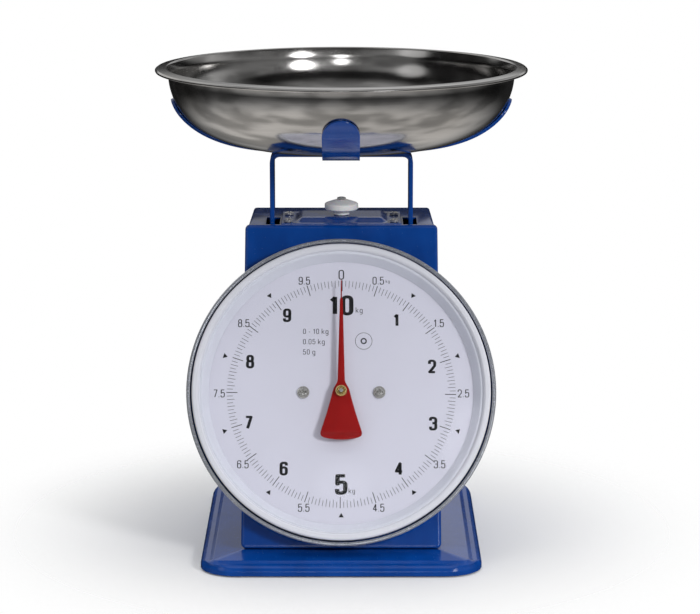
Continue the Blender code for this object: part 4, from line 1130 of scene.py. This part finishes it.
# Each figure is drawn with a few pen strokes in a box one wide and one high. A stroke is its
# corners, how round they are as a share of the figure's width, and whether it closes on itself.
STROKES = {
    "0": [([(0, 0), (1, 0), (1, 1), (0, 1)], 0.5, True)],
    "1": [([(0.72, 0), (0.72, 1)], 0.0, False), ([(0.80, 0.97), (0.0, 0.76)], 0.0, False)],
    "2": [([(0, 0.72), (0, 1), (1, 1), (1, 0.56), (0, 0), (1.05, 0)],
           (0, 0.5, 0.5, 0.5, 0.02, 0), False)],
    "3": [([(0, 0.76), (0, 1), (1, 1), (1, 0.54), (0.35, 0.54)], 0.45, False),
          ([(0.35, 0.54), (1, 0.54), (1, 0), (0, 0), (0, 0.24)], 0.45, False)],
    "4": [([(0.74, 0), (0.74, 1), (0, 0.28), (1.12, 0.28)], 0.02, False)],
    "5": [([(0.98, 1), (0.06, 1), (0.02, 0.50), (0.30, 0.63), (1, 0.63), (1, 0), (0, 0),
            (0, 0.24)], (0, 0.02, 0.05, 0.25, 0.45, 0.5, 0.5, 0), False)],
    "6": [([(0, 0), (1, 0), (1, 0.60), (0, 0.60)], 0.45, True),
          ([(1, 0.77), (1, 1), (0, 1), (0, 0.28)], 0.5, False)],
    "7": [([(0, 1), (1, 1), (0.34, 0)], 0.02, False)],
    "8": [([(0, 0), (1, 0), (1, 0.54), (0, 0.54)], 0.42, True),
          ([(0.05, 0.54), (0.95, 0.54), (0.95, 1), (0.05, 1)], 0.42, True)],
    "9": [([(0, 0.40), (1, 0.40), (1, 1), (0, 1)], 0.45, True),
          ([(0, 0.23), (0, 0), (1, 0), (1, 0.72)], 0.5, False)],
    ".": [([(0, 0.0), (0, 0.07)], 0.0, False)],
    "-": [([(0, 0.38), (1, 0.38)], 0.0, False)],
    "k": [([(0, 0), (0, 1.05)], 0.0, False), ([(0.95, 0.68), (0, 0.26)], 0.0, False),
          ([(0.28, 0.40), (1, 0)], 0.0, False)],
    "g": [([(0, 0), (1, 0), (1, 0.68), (0, 0.68)], 0.42, True),
          ([(1, 0.68), (1, -0.34), (0.02, -0.34)], 0.42, False)],
}
NARROW = {"1": 0.62, ".": 0.0, "-": 0.6}


def pen_line(corners, radii, closed, pen):
    """A flat slab along a line of corners, drawn by a pen that is wider across than upright.

    The line's edges are its points plus and minus (pen across * normal x, pen upright * normal y).
    """
    line = rounded_path(corners, radii, closed, steps=6)
    step = np.roll(line, -1, 0) - line
    keep = np.linalg.norm(step, axis=1) > 1e-6
    keep[-1] = keep[-1] or not closed
    line = line[keep]
    if closed:
        along = np.roll(line, -1, 0) - np.roll(line, 1, 0)
    else:
        along = np.gradient(line, axis=0)
    along /= np.linalg.norm(along, axis=1)[:, None]
    aside = np.stack([along[:, 1], -along[:, 0]], -1) * pen / 2
    low, high = PLATE_TOP, PLATE_TOP + settings().dial.ink_height
    rows = [np.concatenate([line + side * aside, np.full((len(line), 1), z)], 1)
            for side, z in ((1, high), (-1, high), (-1, low), (1, low))]
    grid = np.stack(rows, 1)
    if not closed:
        ends = [np.broadcast_to(row.mean(0), row.shape)[None] for row in (grid[0], grid[-1])]
        grid = np.concatenate([ends[0], grid, ends[1]])
    return on_dial(grid), closed, True


def lettering(words, height, place, width=0.52, pen=(0.115, 0.10), gap=0.14, left=False):
    """Pen strokes for a line of figures, centred on a place or starting from it."""
    pen = np.array(pen) * height
    body = width * height - pen[0]
    widths = [0.0 if sign == " " else body * NARROW.get(sign, 1.0) for sign in words]
    steps = [0.3 * height if sign == " " else wide + pen[0] + gap * height
             for sign, wide in zip(words, widths)]
    at = np.array([place[0] if left else place[0] - (sum(steps) - gap * height) / 2,
                   place[1] - height / 2]) + pen / 2
    made = []
    for sign, wide, step in zip(words, widths, steps):
        for corners, radii, closed in STROKES.get(sign, []):
            spots = at + np.array(corners, float) * [wide, height - pen[1]]
            made.append(pen_line(spots, np.array(radii) * max(wide, 0.2 * body), closed, pen))
        at = at + [step, 0]
    return made


def make_dial_print():
    """Graduations, arrows and numbers, each a thin layer of ink on the plate."""
    sizes = settings().dial
    long_bars, short_bars = tick_outlines()
    mesh = mesh_of("long_marks", slab(long_bars) + slab(arrow_outlines()))
    finish_piece("long_marks", mesh, printed_ink(), "housing", sharp=30)
    mesh = mesh_of("short_marks", slab(short_bars))
    finish_piece("short_marks", mesh, fine_ink(), "housing", sharp=30)
    circle = (14.9 * MM, 35.1 * MM + PRINT_SHIFT)
    mesh = mesh_of("class_ring", [(ring_grid(circle, 5.4 * MM, 5.4 * MM, 0.3 * MM), True, True),
                                  (ring_grid(circle, 1.2 * MM, 1.2 * MM, 0.9 * MM), True, True)])
    finish_piece("class_ring", mesh, fine_ink(), "housing", sharp=30)

    whole = {1: (36.6, 61.3), 2: (73.3, 62.9), 3: (108.3, 64.0), 4: (142.8, 62.9),
             6: (-142.8, 62.7), 7: (-107.6, 64.3), 8: (-70.6, 64.1), 9: (-34.5, 63.6)}
    made = []
    for number, (angle, radius) in whole.items():
        made += lettering(str(number), sizes.numeral, printed_at(angle, radius), 0.60, (0.215, 0.165))
    made += lettering("10", sizes.big_numeral, printed_at(0, 59.1), 0.61, (0.215, 0.155), 0.12)
    made += lettering("5", sizes.big_numeral, printed_at(180, 60.4), 0.61, (0.215, 0.16))
    mesh = mesh_of("whole_numbers", made)
    finish_piece("whole_numbers", mesh, printed_ink(), "housing", sharp=30)

    made = []
    for number in np.arange(10) + 0.5:
        angle = number * 36
        radius = 80.9 - 1.3 * abs(math.cos(math.radians(angle)))
        made += lettering(f"{number:.1f}", sizes.small_numeral, printed_at(angle, radius))
    made += lettering("0", 6.6 * MM, printed_at(0, 79.8), 0.56)
    mesh = mesh_of("half_numbers", made)
    finish_piece("half_numbers", mesh, printed_ink(), "housing", sharp=30)

    small = [("kg", 3.6, 9.6, 55.9), ("kg", 3.3, 4.9, -64.6), ("kg", 2.1, 29.6, 75.4),
             ("0 - 10 kg", 3.5, -25.4, 41.6), ("0.05 kg", 3.5, -25.4, 34.7),
             ("50 g", 3.5, -25.4, 27.8)]
    made = []
    for words, tall, x, y in small:
        made += lettering(words, tall * MM, (x * MM, y * MM + PRINT_SHIFT), 0.54, (0.12, 0.10),
                          0.20, left=True)
    mesh = mesh_of("unit_marks", made)
    finish_piece("unit_marks", mesh, fine_ink(), "housing", sharp=30)


def printed_at(angle, radius):
    """The place of a number on the plate, whose print sits a little below the pointer's axis."""
    return clockwise(angle, radius * MM) + [0, PRINT_SHIFT]


# ---------------------------------------------------------------- pointer

def make_pointer():
    """The pointer's blade: a flat section carried up the dial, as wide at each place as the
    outline says, with a shallow ridge and a lip bent down at the end of the fan."""
    low, high = span("pointer", DIAL_OUT, DIAL_CENTRE)
    tip = span("pointer", DIAL_UP, DIAL_CENTRE)[1]
    foot = -span("pointer", DIAL_UP, DIAL_CENTRE)[0]
    outline = np.array([(-foot, 0.0), (-foot + 0.12 * MM, 3.6 * MM), (-foot + 0.6 * MM, 7.8 * MM),
                        (-foot + 1.4 * MM, 11.2 * MM), (-foot + 2.4 * MM, 13.1 * MM),
                        (-foot + 3.9 * MM, 13.8 * MM), (-foot + 5.4 * MM, 13.5 * MM),
                        (-14.0 * MM, 9.4 * MM), (-4.0 * MM, 6.6 * MM), (-1.0 * MM, 5.9 * MM),
                        (2.0 * MM, 5.0 * MM), (4.2 * MM, 3.7 * MM), (6.0 * MM, 2.7 * MM),
                        (8.0 * MM, 2.4 * MM), (40 * MM, 1.55 * MM), (61.0 * MM, 0.95 * MM),
                        (62.6 * MM, 0.45 * MM), (tip - 1 * MM, 0.34 * MM), (tip, 0.12 * MM)])
    up = np.unique(np.concatenate([outline[:, 0], np.linspace(-foot, tip, 90),
                                   np.linspace(-7, 9, 40) * MM,
                                   np.linspace(-foot, -foot + 6 * MM, 30)]))
    wide = np.interp(up, outline[:, 0], outline[:, 1])
    lip = 1.3 * MM * smooth_rise((-foot + 5.2 * MM - up) / (3.0 * MM))
    angle = np.linspace(0, TURN, 28, endpoint=False)
    across = np.sign(np.cos(angle)) * abs(np.cos(angle)) ** 0.45
    thick = np.sign(np.sin(angle)) * abs(np.sin(angle)) ** 0.6
    ridge = 0.30 * MM * (1 - abs(across))[None] * np.minimum(wide / (3 * MM), 1)[:, None]
    middle = (low + high) / 2
    grid = np.stack([wide[:, None] * across, np.broadcast_to(up[:, None], (len(up), 28)),
                     middle + thick * (high - low) / 2 + ridge - lip[:, None]], -1)
    ends = [np.broadcast_to(row.mean(0), row.shape)[None] for row in (grid[0], grid[-1])]
    grid = np.concatenate([ends[0], grid, ends[1]])
    mesh = mesh_of("pointer_pressed", [(on_dial(grid), False, True)])
    finish_piece("pointer_pressed", mesh, red_lacquer(), "pointer_spindle", ("pointer",),
                 sharp=40)

    low, high = span("pointer_hub", DIAL_OUT, DIAL_CENTRE)
    r = span("pointer_hub", RIGHT)[1]
    bore = 1.25 * MM
    path = [(bore, high - 0.9 * MM), (bore + 0.7 * MM, high), (r - 0.9 * MM, high),
            (r, high - 0.9 * MM), (r, low + 0.9 * MM), (r - 0.3 * MM, low), (bore, low)]
    profile = rounded_path(path, np.array([0.2, 0.3, 0.5, 0.5, 0.3, 0.2, 0.1]) * MM, closed=True)
    mesh = mesh_of("hub_turned", [(on_dial(turned(profile, 96)), True, True)])
    finish_piece("hub_turned", mesh, turned_brass(), "pointer_spindle", ("pointer_hub",))


# ---------------------------------------------------------------- inner works

def make_springs():
    """Extension springs: a tube carried along a helix, its radius drawn in to a straight tail at
    each end. They stretch between the hanger and the crossbar."""
    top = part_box("hanger_bar")
    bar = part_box("crossbar")
    for side in ("left", "right"):
        low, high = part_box("spring_" + side)
        x0 = (low.x + high.x) / 2
        coil, wire, turns = (high.x - low.x) / 2 - 0.9 * MM, 0.85 * MM, 13
        start, end = bar[1].z + 5 * MM, top[0].z - 5 * MM
        t = np.linspace(-0.12, 1.12, 620)
        inside = smooth_rise((t + 0.06) / 0.06) * smooth_rise((1.06 - t) / 0.06)
        reach = coil * inside
        angle = TURN * turns * t
        path = np.stack([x0 + reach * np.cos(angle), reach * np.sin(angle),
                         start + (end - start) * t], -1)
        path[0, 2], path[-1, 2] = bar[0].z - 1.2 * MM, top[1].z + 1.2 * MM
        along = np.gradient(path, axis=0)
        along /= np.linalg.norm(along, axis=1)[:, None]
        away = np.stack([np.cos(angle), np.sin(angle), np.zeros_like(angle)], -1)
        away -= along * (away * along).sum(1)[:, None]
        away /= np.linalg.norm(away, axis=1)[:, None]
        third = np.cross(along, away)
        around = np.linspace(0, TURN, 12, endpoint=False)
        section = wire * np.stack([np.cos(around), np.sin(around)], -1)
        grid = carried(path, away, third, section)
        mesh = mesh_of("spring_coil_" + side, [(grid, False, True)])
        piece = finish_piece("spring_coil_" + side, mesh, spring_wire_steel(), "housing",
                             ("spring_" + side,))
        piece.parent = None
        del piece["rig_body"]
        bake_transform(piece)


def dress_inner_parts():
    """Finishes for the frame's own solids that stay as they are."""
    plain = {
        "plated_steel": ("bottom_plate", "crossbar", "hanger_bar", "rack_arm", "stay_link",
                         "stay_lug", "stay_bracket", "spindle", "stay_pin_load",
                         "stay_pin_housing"),
        "turned_brass": ("pinion", "rack", "movement_plate_front", "movement_plate_rear",
                         "pillar_lower", "pillar_upper"),
        "dial_ground": ("dial_plate",),
    }
    makers = {"plated_steel": plated_steel, "turned_brass": turned_brass,
              "dial_ground": dial_ground}
    for finish, nodes in plain.items():
        for node in nodes:
            mesh = frame["nodes"][node].data
            mesh.materials.clear()
            mesh.materials.append(makers[finish]())


# ---------------------------------------------------------------- studio

CAMERA_AT = (0.0058, -1.8255, 0.5303)
CAMERA_DOWN = 11.64
CAMERA_LENS = 140.0
DOME = 0.46
# What the object mirrors: each light's place in degrees to the right of the camera and up.
LAMP_SIDE = (0.2, 11.6)
WINDOW_SIDE = (28, 16)
LEFT_WINDOW_SIDE = (-52, 22)


def softbox(name, at, towards, size, power, tint=(1.0, 1.0, 1.0)):
    """A rectangular lamp that faces a point."""
    data = bpy.data.lights.new(name, "AREA")
    data.shape = "RECTANGLE"
    data.size, data.size_y = size
    data.energy = power
    data.color = tint
    lamp = bpy.data.objects.new(name, data)
    lamp.location = at
    lamp.visible_glossy = False
    lamp.rotation_euler = (Vector(towards) - Vector(at)).to_track_quat("-Z", "Y").to_euler()
    bpy.context.scene.collection.objects.link(lamp)
    return lamp


class WorldShader(Shader):
    """The same shader maths in the world's node tree."""

    def __init__(self, name):
        self.world = bpy.data.worlds.new(name)
        self.world.use_nodes = True
        self.tree = self.world.node_tree

    def glow(self, direction, towards, width, softness):
        """1 inside a round patch of sky about a direction, falling to 0 over the softness."""
        angle = math.radians(towards[0]), math.radians(towards[1])
        aim = (math.sin(angle[0]) * math.cos(angle[1]), -math.cos(angle[0]) * math.cos(angle[1]),
               math.sin(angle[1]))
        near = self.node("ShaderNodeVectorMath", {"operation": "DOT_PRODUCT"},
                         {0: direction, 1: aim}, output="Value")
        inner, outer = math.cos(math.radians(width)), math.cos(math.radians(width + softness))
        return near.above(outer, inner - outer)


def make_world():
    """White behind the object, an even dome for its shading, and a room for it to mirror.

    The room is pale behind, dark in front, beige below, with a lamp by the camera and a window
    to the right.
    """
    sky = WorldShader("studio")
    direction = sky.node("ShaderNodeTexCoord", output="Generated")
    x, y, z = sky.parts(direction)
    front = z.above(-0.12, 0.30) * 0.15 + 0.045 - z.above(0.40, 0.10) * 0.18
    back = z.above(0.11, 0.11) * 0.52 + 0.015
    behind = y.above(-0.35, 0.75)
    room = front * (1.0 - behind) + back * behind
    above = z.above(0.62, 0.3)
    room = room * (1.0 - above) + above * 0.42
    below = (0.0 - z).above(0.26, 0.50)
    room = room * (1.0 - below) + below * 0.56
    furniture = sky.noise(3.2, 2.0, at=direction).above(0.40, 0.2)
    room = room * (furniture * 0.65 + 0.60)
    room = room * (1.0 - x * 0.16)
    doorway = (0.0 - x).above(0.74, 0.14) * z.above(0.02, 0.08)
    room = room * (1.0 - doorway * 0.95)
    lamp = sky.glow(direction, LAMP_SIDE, 3.0, 3.0) * 4.0
    window = sky.glow(direction, WINDOW_SIDE, 6.0, 3.0) * 6.0
    second = sky.glow(direction, LEFT_WINDOW_SIDE, 7.0, 6.0) * 0.5
    room = room + lamp + window + second
    tint = sky.mix(below, (1.0, 1.0, 1.0), (1.0, 0.965, 0.92))
    shown = sky.node("ShaderNodeVectorMath", {"operation": "SCALE"}, {0: tint, "Scale": room})
    mirrored = sky.node("ShaderNodeBackground", None, {"Color": shown, "Strength": 1.0})
    dome = sky.node("ShaderNodeBackground", None,
                    {"Color": (0.98, 0.99, 1.0, 1.0), "Strength": DOME})
    white = sky.node("ShaderNodeBackground", None, {"Color": (1.0, 1.0, 1.0, 1.0)})
    glossy = sky.node("ShaderNodeLightPath", output="Is Glossy Ray")
    camera = sky.node("ShaderNodeLightPath", output="Is Camera Ray")
    lit = sky.node("ShaderNodeMixShader", None, {0: glossy, 1: dome, 2: mirrored})
    seen = sky.node("ShaderNodeMixShader", None, {0: camera, 1: lit, 2: white})
    sky.tree.links.new(seen.socket, sky.tree.nodes["World Output"].inputs["Surface"])
    bpy.context.scene.world = sky.world


def make_stage():
    """A pale floor, soft lamps and the camera."""
    scene = bpy.context.scene
    scene.view_settings.view_transform = "Standard"
    make_world()
    reach = 1.7
    mesh = mesh_of("floor", [(np.array([[(-reach, -reach, 0), (-reach, reach, 0)],
                                        [(reach, -reach, 0), (reach, reach, 0)]], float),
                              False, False)], upward=True)
    floor = bpy.data.objects.new("floor", mesh)
    scene.collection.objects.link(floor)
    shader = Shader("pale_floor", Base_Color=(0.93, 0.93, 0.93, 1.0), Roughness=0.6)
    x, y, _ = shader.parts(shader.place())
    away = (x * x + y * y) ** 0.5
    shader.feed(Alpha=1.0 - away.above(0.12, 0.16))
    mesh.materials.append(shader.material)
    floor.visible_glossy = False
    softbox("key", (1.22, -1.62, 0.95), (0, 0, 0.15), (0.38, 0.38), 20)
    softbox("top", (0.0, 0.2, 2.4), (0, 0, 0.0), (2.4, 2.4), 34)

    data = bpy.data.cameras.new("camera")
    data.lens = CAMERA_LENS
    data.sensor_width = 36.0
    data.clip_end = 50.0
    camera = bpy.data.objects.new("camera", data)
    camera.location = CAMERA_AT
    camera.rotation_euler = (math.radians(90 - CAMERA_DOWN), 0.0, 0.0)
    scene.collection.objects.link(camera)
    scene.camera = camera


# ---------------------------------------------------------------- operators and panel

class SCALE_OT_bowl(bpy.types.Operator):
    """Spin the bowl"""
    bl_idname = "kitchen_scale.bowl"
    bl_label = "Bowl"

    def execute(self, context):
        make_bowl()
        return {"FINISHED"}


class SCALE_OT_load_frame(bpy.types.Operator):
    """Bend the straps and press the cross that carries the bowl"""
    bl_idname = "kitchen_scale.load_frame"
    bl_label = "Load frame"

    def execute(self, context):
        make_cross()
        make_yoke()
        return {"FINISHED"}


class SCALE_OT_housing(bpy.types.Operator):
    """Fold the housing, its front panel and its rear cover"""
    bl_idname = "kitchen_scale.housing"
    bl_label = "Housing"

    def execute(self, context):
        make_housing()
        make_front_panel()
        return {"FINISHED"}


class SCALE_OT_base(bpy.types.Operator):
    """Press the flared base and mould its feet"""
    bl_idname = "kitchen_scale.base"
    bl_label = "Base"

    def execute(self, context):
        make_base()
        return {"FINISHED"}


class SCALE_OT_bracket(bpy.types.Operator):
    """Press the bracket on top of the housing"""
    bl_idname = "kitchen_scale.bracket"
    bl_label = "Top bracket"

    def execute(self, context):
        make_bracket()
        return {"FINISHED"}


class SCALE_OT_zero_adjuster(bpy.types.Operator):
    """Mould the zero knob and cut its screw"""
    bl_idname = "kitchen_scale.zero_adjuster"
    bl_label = "Zero adjuster"

    def execute(self, context):
        make_zero_adjuster()
        return {"FINISHED"}


class SCALE_OT_screws(bpy.types.Operator):
    """Cut the visible screws"""
    bl_idname = "kitchen_scale.screws"
    bl_label = "Screws"

    def execute(self, context):
        make_screws()
        return {"FINISHED"}


class SCALE_OT_dial_head(bpy.types.Operator):
    """Spin the drum and the bezel, and mould the lens"""
    bl_idname = "kitchen_scale.dial_head"
    bl_label = "Dial head"

    def execute(self, context):
        make_drum()
        make_bezel()
        make_lens()
        return {"FINISHED"}


class SCALE_OT_dial_print(bpy.types.Operator):
    """Print the graduations and numbers"""
    bl_idname = "kitchen_scale.dial_print"
    bl_label = "Dial print"

    def execute(self, context):
        make_dial_print()
        return {"FINISHED"}


class SCALE_OT_pointer(bpy.types.Operator):
    """Press the pointer and turn its hub"""
    bl_idname = "kitchen_scale.pointer"
    bl_label = "Pointer"

    def execute(self, context):
        make_pointer()
        return {"FINISHED"}


class SCALE_OT_inner_works(bpy.types.Operator):
    """Wind the springs and finish the inner parts"""
    bl_idname = "kitchen_scale.inner_works"
    bl_label = "Inner works"

    def execute(self, context):
        make_springs()
        dress_inner_parts()
        return {"FINISHED"}


class SCALE_OT_stage(bpy.types.Operator):
    """Set up the floor, the lamps and the camera"""
    bl_idname = "kitchen_scale.stage"
    bl_label = "Stage"

    def execute(self, context):
        make_stage()
        return {"FINISHED"}


STEPS = (SCALE_OT_bowl, SCALE_OT_load_frame, SCALE_OT_housing, SCALE_OT_base, SCALE_OT_bracket,
         SCALE_OT_zero_adjuster, SCALE_OT_screws, SCALE_OT_dial_head, SCALE_OT_dial_print,
         SCALE_OT_pointer, SCALE_OT_inner_works, SCALE_OT_stage)


class SCALE_PT_panel(bpy.types.Panel):
    """Sizes, colours and steps of the kitchen scale"""
    bl_idname = "SCALE_PT_panel"
    bl_label = "Kitchen Scale"
    bl_space_type = "VIEW_3D"
    bl_region_type = "UI"
    bl_category = "Scale"

    def draw(self, context):
        values = context.scene.kitchen_scale
        for group in (values.finishes, values.bowl, values.dial, values.sheet):
            box = self.layout.box()
            for name in group.__annotations__:
                box.prop(group, name)
        for step in STEPS:
            self.layout.operator(step.bl_idname)


CLASSES = (ScaleFinishes, BowlSizes, DialSizes, SheetSizes, ScaleSettings, *STEPS, SCALE_PT_panel)


def register():
    for made in CLASSES:
        bpy.utils.register_class(made)
    bpy.types.Scene.kitchen_scale = PointerProperty(type=ScaleSettings)


def unregister():
    del bpy.types.Scene.kitchen_scale
    for made in reversed(CLASSES):
        bpy.utils.unregister_class(made)


def main():
    register()
    for step in STEPS:
        family, name = step.bl_idname.split(".")
        getattr(getattr(bpy.ops, family), name)()


if __name__ == "__main__":
    main()
